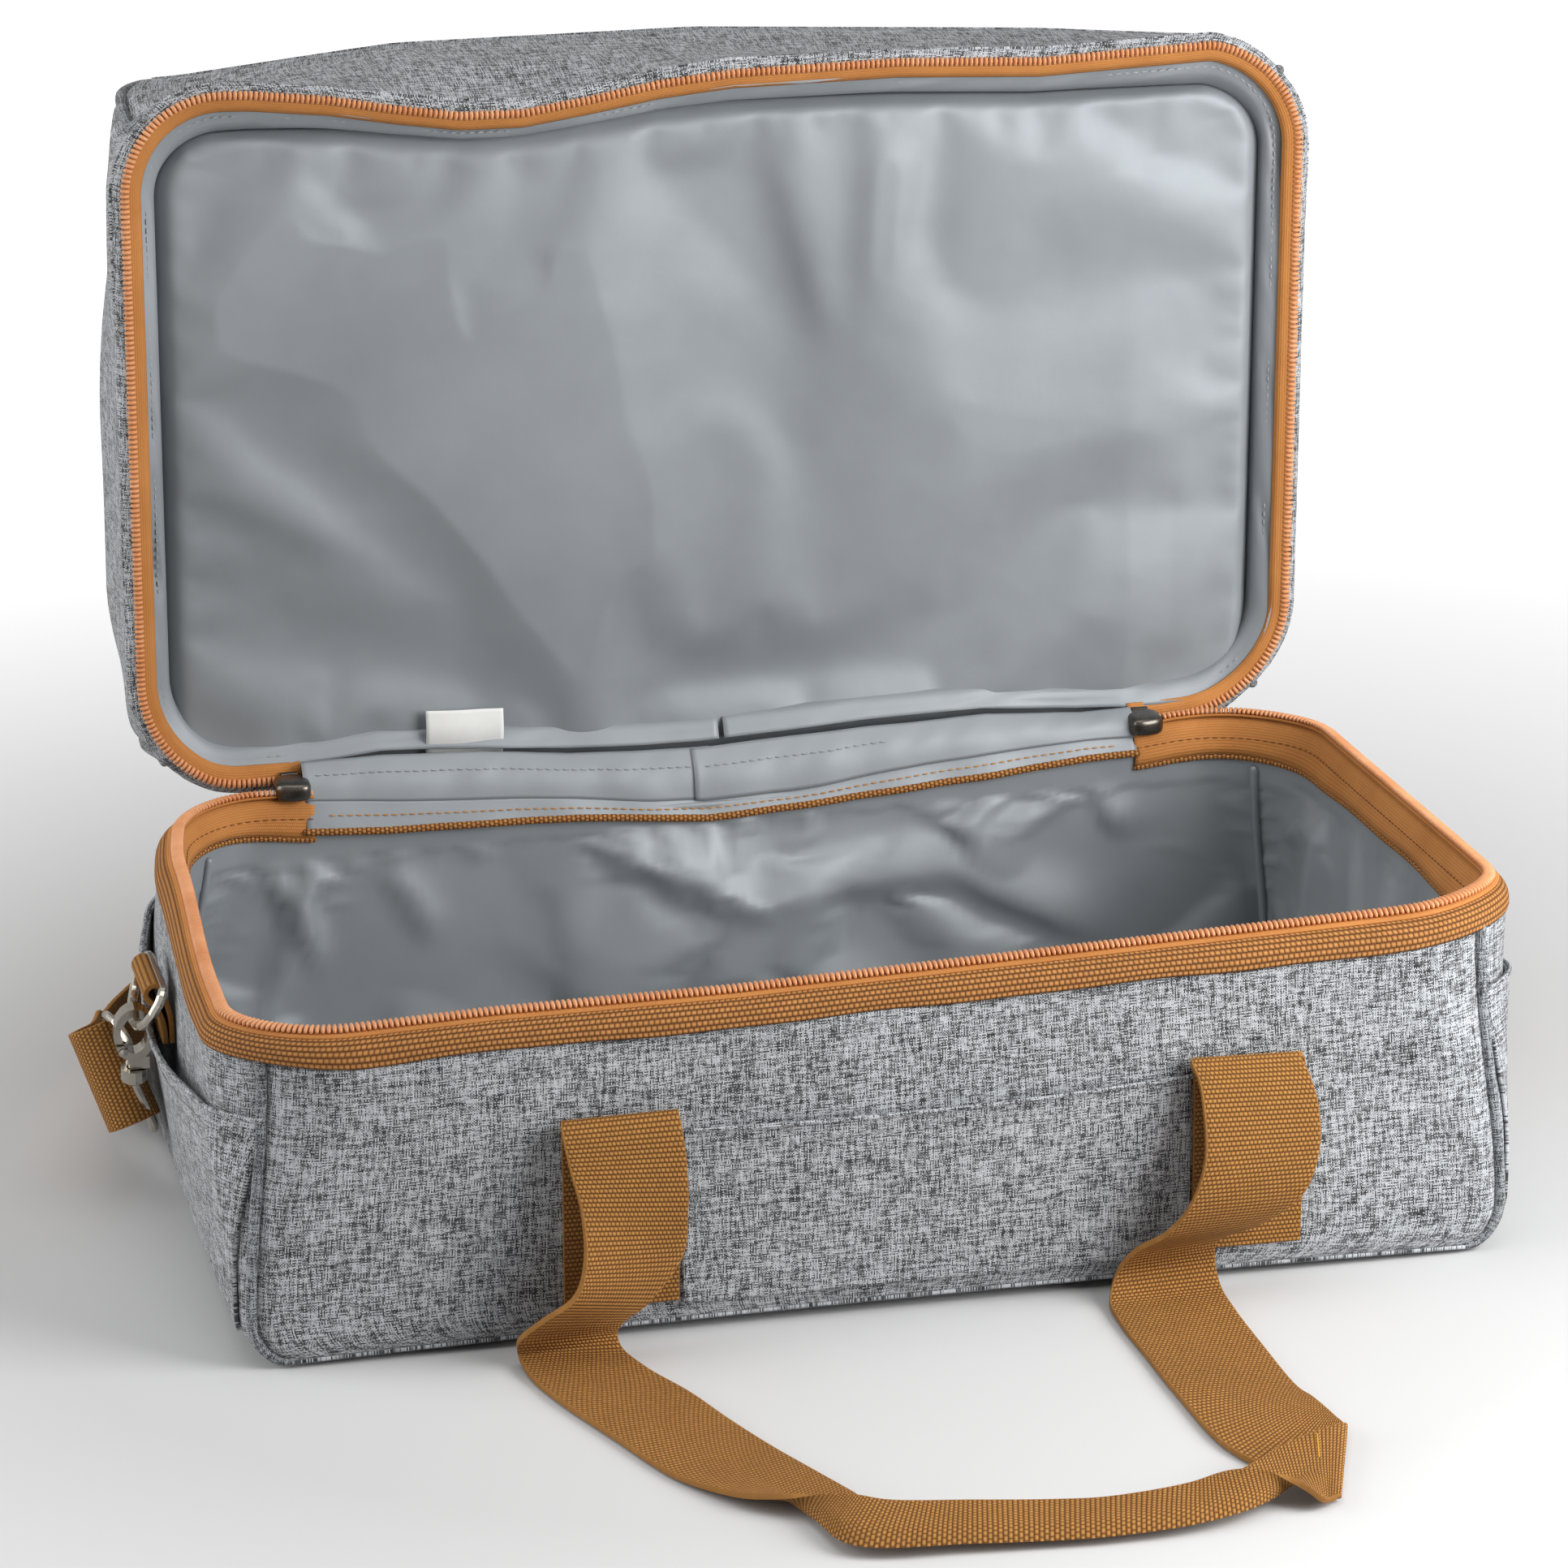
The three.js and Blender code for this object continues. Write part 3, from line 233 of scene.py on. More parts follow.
# round cord along a path, with rounded ends
def roundCord(name, path, radius, hint=(0, 0, 1), sides=12):
    ahead, side, up = pathFrames(path, np.array(hint, dtype=float))
    turn = np.linspace(0, math.tau, sides + 1)[:, None]

    def ring(k, grow, shift):
        return (path[k] + ahead[k] * shift)[None] + radius * grow * (np.cos(turn) * side[k] + np.sin(turn) * up[k])

    lean = [1e-4, 0.45, 0.75, 0.95]
    rows = ([ring(0, s, -radius * math.sqrt(1 - s * s)) for s in lean] + [ring(k, 1, 0) for k in range(len(path))]
            + [ring(-1, s, radius * math.sqrt(1 - s * s)) for s in reversed(lean)])
    return clothSheet(name, np.array(rows), closed=True)


# one small shape repeated along a path, its length laid on the path
def rowAlong(name, shape, path, hint, pitch, lift=0.0):
    run = lengthAlong(path)
    count = max(2, int(run[-1] / pitch))
    useModifier(shape, "ARRAY", count=count, use_relative_offset=False, use_constant_offset=True,
                constant_offset_displace=(run[-1] / count * 0.001, 0, 0))
    shape.name = shape.data.name = name
    side, up = pathFrames(path, np.asarray(hint, dtype=float))[1:]
    spots = meshSpots(shape)
    at = lambda rows: np.stack([np.interp(spots[:, 0] + 0.5 * pitch, run, rows[:, k]) for k in range(3)], axis=1)
    moveSpots(shape, at(path) + at(side) * spots[:, 1:2] + at(up) * (spots[:, 2:3] + lift))
    return shape


stitchShape = {"length": 2.5, "width": 0.62, "height": 0.5, "pitch": 3.3, "segments": 6, "rings": 4}


def smallBall(segments, rings, length, width, height):
    bpy.ops.object.select_all(action="DESELECT")
    bpy.ops.mesh.primitive_uv_sphere_add(segments=segments, ring_count=rings, radius=0.5)
    ball = bpy.context.object
    ball.scale = (length * 0.001, width * 0.001, height * 0.001)
    bpy.ops.object.transform_apply(location=True, rotation=True, scale=True)
    return ball


def stitchRow(name, path, hint, finish, body, slotName, pitch=None, lift=0.1):
    size = stitchShape
    stitch = smallBall(size["segments"], size["rings"], size["length"], size["width"], size["height"])
    rowAlong(name, stitch, path, hint, pitch or size["pitch"], lift)
    return finishPiece(stitch, finish, body, slotName)


# materials


def feed(tree, socket, value):
    if isinstance(value, bpy.types.NodeSocket):
        tree.links.new(value, socket)
    else:
        socket.default_value = value


def newFinish(name):
    finish = bpy.data.materials.new(name)
    finish.use_nodes = True
    tree = finish.node_tree
    return finish, tree, tree.nodes["Principled BSDF"], put(tree, "ShaderNodeTexCoord").outputs


# sets a shader's inputs and, from a height, its normal
def dress(tree, shader, inputs, height=None, strength=0.0, depth=0.0):
    if height is not None:
        bump = put(tree, "ShaderNodeBump", {"Height": height, "Strength": strength, "Distance": depth})
        inputs = {**inputs, "Normal": bump.outputs[0]}
    for key, value in inputs.items():
        feed(tree, shader.inputs[key], value)


def put(tree, kind, inputs=None, **settings):
    node = tree.nodes.new(kind)
    for key, value in settings.items():
        setattr(node, key, value)
    for key, value in (inputs or {}).items():
        feed(tree, node.inputs[key], value)
    return node


def calc(tree, operation, first, second=0.0, third=0.0):
    return put(tree, "ShaderNodeMath", {0: first, 1: second, 2: third}, operation=operation).outputs[0]


def blendColour(tree, share, dark, light):
    return put(tree, "ShaderNodeMix", {0: share, 6: dark, 7: light}, data_type="RGBA").outputs[2]


def tint(code):
    parts = [int(code[k:k + 2], 16) / 255 for k in (0, 2, 4)]
    return tuple(c / 12.92 if c <= 0.04045 else ((c + 0.055) / 1.055) ** 2.4 for c in parts) + (1.0,)


def newGroup(name, takes, gives):
    group = bpy.data.node_groups.new(name, "ShaderNodeTree")
    for socket, kind, value in takes:
        made = group.interface.new_socket(socket, in_out="INPUT", socket_type=kind)
        if value is not None:
            made.default_value = value
    for socket, kind in gives:
        group.interface.new_socket(socket, in_out="OUTPUT", socket_type=kind)
    return group, group.nodes.new("NodeGroupInput").outputs, group.nodes.new("NodeGroupOutput").inputs


def place(tree, group, inputs):
    return put(tree, "ShaderNodeGroup", inputs, node_tree=group).outputs


# rows of woven knots, each row shifted by half a knot
def makeKnotWeave():
    group, taken, given = newGroup("knotWeave",
                                   [("Vector", "NodeSocketVector", None), ("Across", "NodeSocketFloat", 0.0018),
                                    ("Along", "NodeSocketFloat", 0.0015)],
                                   [("Knot", "NodeSocketFloat"), ("Tone", "NodeSocketFloat")])
    parts = put(group, "ShaderNodeSeparateXYZ", {0: taken["Vector"]}).outputs
    row = calc(group, "DIVIDE", parts[1], taken["Along"])
    rowNumber = calc(group, "FLOOR", row)
    shift = calc(group, "MULTIPLY", calc(group, "FLOORED_MODULO", rowNumber, 2.0), 0.5)
    column = calc(group, "ADD", calc(group, "DIVIDE", parts[0], taken["Across"]), shift)
    columnNumber = calc(group, "FLOOR", column)
    swellA = calc(group, "SINE", calc(group, "MULTIPLY", calc(group, "FRACT", column), math.pi))
    swellB = calc(group, "SINE", calc(group, "MULTIPLY", calc(group, "FRACT", row), math.pi))
    knot = calc(group, "MULTIPLY", calc(group, "POWER", swellA, 0.45), calc(group, "POWER", swellB, 0.8))
    spot = put(group, "ShaderNodeCombineXYZ", {0: columnNumber, 1: rowNumber}).outputs[0]
    dice = put(group, "ShaderNodeTexWhiteNoise", {"Vector": spot}, noise_dimensions="2D").outputs["Value"]
    group.links.new(knot, given["Knot"])
    group.links.new(dice, given["Tone"])
    return group


# plain weave of threads whose shade changes along their length
def makeMelange():
    group, taken, given = newGroup("melangeThreads",
                                   [("Vector", "NodeSocketVector", None), ("Thread", "NodeSocketFloat", 0.0006),
                                    ("Streak", "NodeSocketFloat", 0.009)],
                                   [("Tone", "NodeSocketFloat"), ("Height", "NodeSocketFloat")])
    parts = put(group, "ShaderNodeSeparateXYZ", {0: taken["Vector"]}).outputs
    cells, tones, swells = [], [], []
    for cross, along, offset in ((1, 0, 3.7), (0, 1, 41.3)):
        threadSpot = calc(group, "DIVIDE", parts[cross], taken["Thread"])
        number = calc(group, "FLOOR", threadSpot)
        cells.append(number)
        swells.append(calc(group, "SINE", calc(group, "MULTIPLY", calc(group, "FRACT", threadSpot), math.pi)))
        run = calc(group, "DIVIDE", parts[along], taken["Streak"])
        spot = put(group, "ShaderNodeCombineXYZ",
                   {0: run, 1: calc(group, "MULTIPLY", number, 5.37), 2: offset}).outputs[0]
        tones.append(put(group, "ShaderNodeTexNoise",
                         {"Vector": spot, "Scale": 1.0, "Detail": 3.0, "Roughness": 0.7}).outputs["Fac"])
    over = calc(group, "FLOORED_MODULO", calc(group, "ADD", cells[0], cells[1]), 2.0)
    mixed = put(group, "ShaderNodeMix", {0: over, 2: tones[0], 3: tones[1]}).outputs[0]
    high = put(group, "ShaderNodeMix", {0: over, 2: swells[0], 3: swells[1]}).outputs[0]
    tone = put(group, "ShaderNodeMapRange", {"Value": mixed, "From Min": 0.44, "From Max": 0.56}).outputs[0]
    group.links.new(tone, given["Tone"])
    group.links.new(high, given["Height"])
    return group


# slow change of shade, as on handled cloth; on nickel its darker patches are also painted dark reflection
def makeWearAndReflectionTone():
    group, taken, given = newGroup("wearAndReflectionTone",
                                   [("Vector", "NodeSocketVector", None), ("Size", "NodeSocketFloat", 20.0)],
                                   [("Tone", "NodeSocketFloat")])
    cloud = put(group, "ShaderNodeTexNoise",
                {"Vector": taken["Vector"], "Scale": taken["Size"], "Detail": 4.0, "Roughness": 0.6}).outputs["Fac"]
    group.links.new(put(group, "ShaderNodeMapRange", {"Value": cloud, "From Min": 0.3, "From Max": 0.7}).outputs[0],
                    given["Tone"])
    return group


knotWeave, melangeThreads, wearAndReflectionTone = makeKnotWeave(), makeMelange(), makeWearAndReflectionTone()


weaveLook = {"wearAndReflection": 35.0, "edge": 0.0007, "edgeKnot": 0.62, "shade": 0.74, "contrast": 1.3, "shine": 0.25,
             "bump": 0.9}


def wovenFinish(name, across, along, dark, light, depth, rough, span=0.0):
    look = weaveLook
    finish, tree, shader, where = newFinish(name)
    weave = place(tree, knotWeave, {"Vector": where["UV"], "Across": across, "Along": along})
    wearAndReflection = place(tree, wearAndReflectionTone, {"Vector": where["Object"], "Size": look["wearAndReflection"]})
    knot = weave["Knot"]
    if span:   # the yarn turns round at both edges of a strap
        u = put(tree, "ShaderNodeSeparateXYZ", {0: where["UV"]}).outputs[0]
        edge = calc(tree, "MINIMUM", u, calc(tree, "SUBTRACT", span, u))
        inner = put(tree, "ShaderNodeMapRange", {"Value": edge, "From Min": 0.0, "From Max": look["edge"]}).outputs[0]
        knot = calc(tree, "MULTIPLY_ADD", inner, calc(tree, "SUBTRACT", knot, look["edgeKnot"]), look["edgeKnot"])
    tone = calc(tree, "MULTIPLY_ADD", weave["Tone"], 0.5, calc(tree, "MULTIPLY", wearAndReflection["Tone"], 0.5))
    body = blendColour(tree, tone, tuple(look["shade"] * c for c in light[:3]) + (1,), light)
    colour = blendColour(tree, calc(tree, "POWER", knot, look["contrast"]), dark, body)
    dress(tree, shader, {"Base Color": colour, "Roughness": rough, "Specular IOR Level": look["shine"]},
          knot, look["bump"], depth)
    return finish


melangeLook = {"thread": 0.00046, "streak": 0.007, "wearAndReflection": 60.0, "wornShare": 0.1, "rough": 0.88, "sheen": 0.1}


def melangeFinish(name, dark, light):
    look = melangeLook
    finish, tree, shader, where = newFinish(name)
    cloth = place(tree, melangeThreads, {"Vector": where["UV"], "Thread": look["thread"], "Streak": look["streak"]})
    wearAndReflection = place(tree, wearAndReflectionTone, {"Vector": where["Object"], "Size": look["wearAndReflection"]})
    threads = calc(tree, "MULTIPLY", cloth["Tone"], 1 - look["wornShare"])
    share = calc(tree, "MULTIPLY_ADD", wearAndReflection["Tone"], look["wornShare"], threads)
    dress(tree, shader, {"Base Color": blendColour(tree, share, tint(dark), tint(light)), "Roughness": look["rough"],
                         "Sheen Weight": look["sheen"]}, cloth["Height"], 0.55, 0.0003)
    return finish


foilLook = {"dark": "858a8e", "light": "969b9f", "wearAndReflection": 9.0, "grain": 900.0, "slow": 45.0, "rough": (0.5, 0.6),
            "metal": 0.24}


def foilFinish():
    look = foilLook
    finish, tree, shader, where = newFinish("foilLining")
    wearAndReflection = place(tree, wearAndReflectionTone, {"Vector": where["Object"], "Size": look["wearAndReflection"]})
    noise = lambda scale, detail: put(tree, "ShaderNodeTexNoise", {"Vector": where["Object"], "Scale": scale,
                                      "Detail": detail}).outputs["Fac"]
    grain, slow = noise(look["grain"], 2.0), noise(look["slow"], 3.0)
    rough = put(tree, "ShaderNodeMapRange", {"Value": slow, "To Min": look["rough"][0], "To Max": look["rough"][1]})
    colour = blendColour(tree, wearAndReflection["Tone"], tint(look["dark"]), tint(look["light"]))
    dress(tree, shader, {"Base Color": colour, "Roughness": rough.outputs[0], "Metallic": look["metal"]},
          calc(tree, "MULTIPLY_ADD", grain, 0.06, slow), 0.25, 0.0012)
    return finish


def tapeFinish():
    finish, tree, shader, where = newFinish("zipTape")
    weave = place(tree, knotWeave, {"Vector": where["UV"], "Across": 0.0007, "Along": 0.0009})
    wearAndReflection = place(tree, wearAndReflectionTone, {"Vector": where["Object"], "Size": 45.0})
    share = calc(tree, "MULTIPLY_ADD", weave["Knot"], 0.6, calc(tree, "MULTIPLY", wearAndReflection["Tone"], 0.4))
    colour = blendColour(tree, share, tint("a56528"), tint("c98745"))
    dress(tree, shader, {"Base Color": colour, "Roughness": 0.8}, weave["Knot"], 0.6, 0.0002)
    return finish


# plain finishes: a slow change of shade and a fine grain
def grainFinish(name, dark, light, rough, metal=0.0, grainSize=1400.0):
    finish, tree, shader, where = newFinish(name)
    wearAndReflection = place(tree, wearAndReflectionTone, {"Vector": where["Object"], "Size": 40.0})
    grain = put(tree, "ShaderNodeTexNoise",
                {"Vector": where["Object"], "Scale": grainSize, "Detail": 2.0}).outputs["Fac"]
    spread = put(tree, "ShaderNodeMapRange",
                 {"Value": grain, "To Min": rough - 0.06, "To Max": rough + 0.08}).outputs[0]
    colour = blendColour(tree, wearAndReflection["Tone"], tint(dark), tint(light))
    dress(tree, shader, {"Base Color": colour, "Roughness": spread, "Metallic": metal}, grain, 0.3, 0.00005)
    return finish


webbing = {"span": 0.040, "yarns": 26, "columns": 15, "bevel": 0.0004}
melangeCloth = melangeFinish("melangeCloth", "131518", "c6c9cd")
# the piping cord's own melange, made darker than the panels as painted seam shade along the corner seams
pipingClothWithSeamShade = melangeFinish("pipingClothWithSeamShade", "24262a", "a6aaae")
foilLining = foilFinish()
ribbonCloth = wovenFinish("ribbonCloth", 0.0019, 0.0017, tint("54300f"), tint("cb8d50"), 0.0005, 0.82)
webbingCloth = wovenFinish("webbingCloth", webbing["span"] / webbing["yarns"], 0.0016, tint("5c3712"), tint("c48c49"),
                           0.0005, 0.82, span=webbing["span"])
zipTape = tapeFinish()
zipCoil = grainFinish("zipCoil", "c9824e", "dd9f70", 0.4)
tanThread = grainFinish("tanThread", "a97132", "c48a45", 0.75)
tackThread = grainFinish("tackThread", "b8862a", "d0a03c", 0.7)
brownThread = grainFinish("brownThread", "6f4217", "855224", 0.8)
greyThread = grainFinish("greyThread", "8b8f91", "a5a9ab", 0.7)
# nickel: its darker slow patches are painted dark reflection as well as wear
nickel = grainFinish("nickel", "a39c90", "c9c3b8", 0.18, metal=1.0, grainSize=700.0)
darkMetal = grainFinish("darkMetal", "45413c", "6a655e", 0.28, metal=0.95)
labelCloth = grainFinish("labelCloth", "e2e2df", "efefec", 0.7)
print("materials made")

# the bag's own form

bag = {"length": 440.0, "depth": 260.0, "baseWall": 109.0, "lidWall": 70.0, "faceRadius": 17.0, "footRadius": 9.0,
       "rimRadius": 41.0, "cloth": 1.2, "lidAngle": 87.0, "hingeY": 130.2, "hingeZ": 121.3, "lidRim": 74.0}
sides = {"front": (vector(1, 0), vector(0, -1)), "right": (vector(0, 1), vector(1, 0)),
         "back": (vector(-1, 0), vector(0, 1)), "left": (vector(0, -1), vector(-1, 0))}


def halfLength(inset, z):
    corner = bag["faceRadius"]
    drop = np.maximum(corner - z, 0)
    return bag["length"] / 2 - corner + np.sqrt(np.maximum((corner - inset) ** 2 - drop ** 2, 0))


def cornerRadius(inset, z, wall):
    share = smooth(bag["faceRadius"], wall, z)
    return np.maximum(bag["footRadius"] + (bag["rimRadius"] - bag["footRadius"]) * share - inset, 0.4)


# a place on one wall, from corner seam to corner seam
def wallSpot(side, along, z, inset, wall):
    run, out = sides[side]
    along, z, inset = np.broadcast_arrays(along, z, inset)
    r = cornerRadius(inset, z, wall)
    long, deep = halfLength(inset, z), bag["depth"] / 2 - inset
    half, reach = (long, deep) if side in ("front", "back") else (deep, long)
    straight = half - r
    spot = (2 * along - 1) * (straight + r * math.pi / 4)
    bend = np.maximum(np.abs(spot) - straight, 0) / r
    a = np.sign(spot) * (np.minimum(np.abs(spot), straight) + r * np.sin(bend))
    o = reach - r * (1 - np.cos(bend))
    return np.stack([a * run[0] + o * out[0], a * run[1] + o * out[1], z], axis=-1)


# how the loaded cloth base slumps to its left and stands higher at its right
baseSlump = {"x": [-220, -173, -134, -52, 31, 116, 173, 220], "front": [-5, -3.9, -2.5, -1.9, 0.7, 3.4, 5.2, 7.5],
             "back": [-1, -1.5, -4, -8, -8.5, -5, 2, 4], "bulge": 3.0, "rightFlare": 8.0, "leftFlare": 5.0,
             "backPull": 8.0,
             "arch": 2.6, "depth": (-125, 125), "rimHeight": 117.0, "riseCurve": 1.4}


# how far the rim is lifted at a place, its front and its back each by a curve of their own
def rimLift(x, y, backFloor=-99.0):
    size = baseSlump
    share = smooth(*size["depth"], y)
    front, back = (np.interp(x, size["x"], size[key]) for key in ("front", "back"))
    return front * (1 - share) + np.maximum(back, backFloor) * share


def slump(points):
    x, y, z = points[..., 0], points[..., 1], points[..., 2]
    size = baseSlump
    rise = np.clip(z / size["rimHeight"], 0, 1.3) ** size["riseCurve"]
    arch = size["arch"] * np.clip(1 - (x / 205) ** 2, 0, 1) * smooth(-60, -125, y) * np.clip(1 - z / 40, 0, 1)
    swell = size["bulge"] * np.sin(math.pi * np.clip(z / 112, 0, 1))
    dy = np.sign(y) * smooth(85, 126, np.abs(y)) * swell * np.clip(1 - (x / 214) ** 2, 0, 1)
    dx = np.sign(x) * smooth(160, 214, np.abs(x)) * swell * np.clip(1 - (y / 126) ** 2, 0, 1)
    rightEnd, leftEnd, ahead = smooth(120, 214, x), smooth(120, 214, -x), smooth(-135, -95, y)
    dx = dx + rise * (size["rightFlare"] * rightEnd * smooth(118, 80, y) * ahead
                      - size["leftFlare"] * leftEnd * smooth(60, -70, y) * ahead
                      + size["backPull"] * leftEnd * smooth(50, 125, y))
    return np.stack([x + dx, y + dy, z + rimLift(x, y) * rise + arch], axis=-1)


# how the lid's cloth gives: a dip in its front edge, its right side pushed out
lidShape = {"x": [-220, -203, -170, -142, -118, -95, -72, -48, -22, 5, 66, 120, 182, 220],
            "edge": [1, 1.7, 0.4, -2.8, -7.4, -11.0, -11.2, -7.6, -3, -0.4, 0.7, -1.6, 1.4, -3],
            "crownX": [-220, -194, -106, 5, 137, 220], "crown": [-13, -12, -4, -3.5, -10.5, -17],
            "rightFlare": 5.0, "bulge": 6.0, "leftPull": 9.0, "rightPull": 7.0,
            "hangX": [-220, -190, -160, -128, -90, -58, -28, -8, 25, 58, 101, 138, 170, 220],
            "hang": [3, 6.5, 6.5, 3.5, 5, 8, 9.2, 9.4, 7.6, 5.6, 4.6, 8, 9, 7], "seatEnds": (60, 6),
            "seatShift": 0.32, "rimClear": 1.0}


# lid places are kept closed, measured from the hinge, and opened last
def lidGive(points):
    x, y, z = points[..., 0], points[..., 1], points[..., 2]
    size = lidShape
    curve = lambda places, key: np.interp(x, size[places], size[key])
    share = smooth(0, 34, z)
    push = curve("x", "edge") * (1 - share) + curve("crownX", "crown") * share
    dy = -push * smooth(-150, -245, y) + curve("hangX", "hang") * smooth(-75, -2, y)
    dx = size["rightFlare"] * smooth(110, 211, x) * np.clip(1 - z / 90, 0, 1) * smooth(4, -40, y)
    rear = smooth(12, 66, z)
    dx = dx + size["leftPull"] * rear * smooth(110, 214, -x) * (smooth(-120, -240, y) + smooth(-60, 0, y))
    dx = dx - size["rightPull"] * rear * smooth(110, 214, x)
    dz = (size["bulge"] * smooth(40, 72, z) * np.clip(1 - (x / 215) ** 2, 0, 1)
          * np.clip(1 - ((y + 130) / 128) ** 2, 0, 1))
    # the rim follows the base's rim, so that it comes down on it when closed
    seat = rimLift(x, y + bag["hingeY"], 0.0) * smooth(*size["seatEnds"], z)
    dy = dy + size["seatShift"] * seat * smooth(-100, -200, y)
    return np.stack([x + dx, y + dy, z + dz + seat], axis=-1)


def openLid(points):
    turn = math.radians(bag["lidAngle"])
    y, z = points[..., 1], points[..., 2]
    return np.stack([points[..., 0], bag["hingeY"] + y * math.cos(turn) + z * math.sin(turn),
                     bag["hingeZ"] - y * math.sin(turn) + z * math.cos(turn)], axis=-1)


def lidTurned(x, y, z):
    return openLid(lidGive(np.stack([x, y - bag["hingeY"], z], axis=-1)))


def lidPlace(points):
    return lidTurned(-points[..., 0], points[..., 1], bag["lidRim"] - points[..., 2])


# cloth shell of base and lid

shellGrid = {"columns": 140, "rows": 46, "seamDip": 2.0, "dipWidth": 5.0, "ripple": 0.9, "rippleSize": 90,
             "spread": (204, 129), "spreadZ": 1.4, "spreadGrid": (90, 60)}


def shellPanel(name, side, wall, move, seed):
    size, corner = shellGrid, bag["faceRadius"]
    along = np.linspace(0, 1, size["columns"])[None, :]
    if side in ("front", "back"):
        span = bag["length"]
        z = foot = np.linspace(1.0, wall, size["rows"])[:, None]
    else:   # the ends run round under the base, where no seam dips them
        span = bag["depth"]
        quarter = corner * math.pi / 2
        run = np.linspace(0, quarter + wall - corner, size["rows"])[:, None]
        z = np.where(run < quarter, corner * (1 - np.cos(np.minimum(run / corner, math.pi / 2))),
                     corner + run - quarter)
        foot = np.full_like(z, span)
    edge = np.minimum((0.5 - np.abs(along - 0.5)) * span, foot)
    swell = ripple(along * span, z, seed, size["rippleSize"], size["ripple"]) * smooth(2, 25, edge)
    inset = size["seamDip"] * np.exp(-(edge / size["dipWidth"]) ** 2) + swell
    piece = clothSheet(name, move(wallSpot(side, along, z, inset, wall)))
    useModifier(piece, "SOLIDIFY", thickness=bag["cloth"] * 0.001, offset=-1)
    return piece


pipingCord = {"radius": 2.0, "inset": 0.9, "footZ": 2.4, "steps": 320}


def cornerSeam(side, wall, inset):
    bend = np.sin(np.linspace(0, math.pi / 2, 12)[1:])
    drop = np.concatenate([np.linspace(wall, bag["faceRadius"], 30),
                           bag["faceRadius"] * (1 - bend) + pipingCord["footZ"] * bend])
    left = wallSpot(side, 0.0, drop, inset, wall)
    right = left * vector(-1, 1, 1)
    return np.concatenate([left, np.linspace(left[-1], right[-1], 60)[1:-1], right[::-1]])


def addShell(prefix, wall, move, body, names, spread):
    size = shellGrid
    for number, (side, label) in enumerate(names.items()):
        nodes = [f"{prefix}_{label}_panel"] + ([f"{prefix}_{label}_foam"] if prefix == "base" else [])
        panel = shellPanel(f"{prefix}{label.title()}Panel", side, wall, move, 11 + number)
        finishPiece(panel, melangeCloth, body, "melange_cloth", nodes)
    for side in ("front", "back"):
        label = names[side]
        seam, outer = (move(cornerSeam(side, wall, pipingCord["inset"] - out)) for out in (0, 1))
        cord = roundCord(f"{prefix}{label.title()}Piping", evenSteps(seam, pipingCord["steps"]), pipingCord["radius"],
                         hint=unit((outer - seam).mean(axis=0)))
        finishPiece(cord, pipingClothWithSeamShade, body, "piping_cloth", [f"{prefix}_{label}_piping"])
    (halfX, halfY), (columns, rows) = size["spread"], size["spreadGrid"]
    x, y = np.meshgrid(np.linspace(-halfX, halfX, columns), np.linspace(halfY, -halfY, rows))
    floor = clothSheet(f"{prefix}{spread.title()}Panel",
                       move(np.stack([x, y, np.full_like(x, size["spreadZ"])], axis=-1)))
    sewSheet(floor, bag["cloth"] * 0.001, -1, melangeCloth, body, "melange_cloth",
             [f"{prefix}_{spread}_panel", f"{prefix}_{spread}_foam"])


# the lid is the base's form turned over, so its right and left change places
addShell("base", bag["baseWall"], slump, "base", {"front": "front", "right": "right", "back": "back", "left": "left"},
         "bottom")
addShell("lid", bag["lidWall"], lidPlace, "lid", {"front": "front", "left": "right", "back": "back", "right": "left"},
         "top")
print("shell sewn")

# rim: ribbon binding, zip tape and coil


# round the rim from the back's middle, over left, front and right, in even steps
def rimLine(inset, count, gap=0.0):
    part = lambda side, low, high: wallSpot(side, np.linspace(low, high, 120), bag["baseWall"], inset,
                                            bag["baseWall"])[:, :2]
    line = np.concatenate([part("back", 0.5, 1)[:-1], part("left", 0, 1)[:-1], part("front", 0, 1)[:-1],
                           part("right", 0, 1)[:-1], part("back", 0, 0.5)])
    line = np.column_stack([line, np.zeros(len(line))])
    return evenSteps(line, count, gap, lengthAlong(line)[-1] - gap)


rimRun = 1250.0


def asGiven(points):
    return points


def rimTable(profile, count, move, gap=0.0, wave=0.0):
    rows = []
    run = np.linspace(0, rimRun, count)
    for number, (inset, z) in enumerate(profile):
        line = rimLine(inset, count, gap)
        line[:, 2] = z + wave * ripple(run, 0 * run, 5, 45, 1.0) * smooth(1, 0, number / 4)
        rows.append(line)
    return move(np.array(rows))


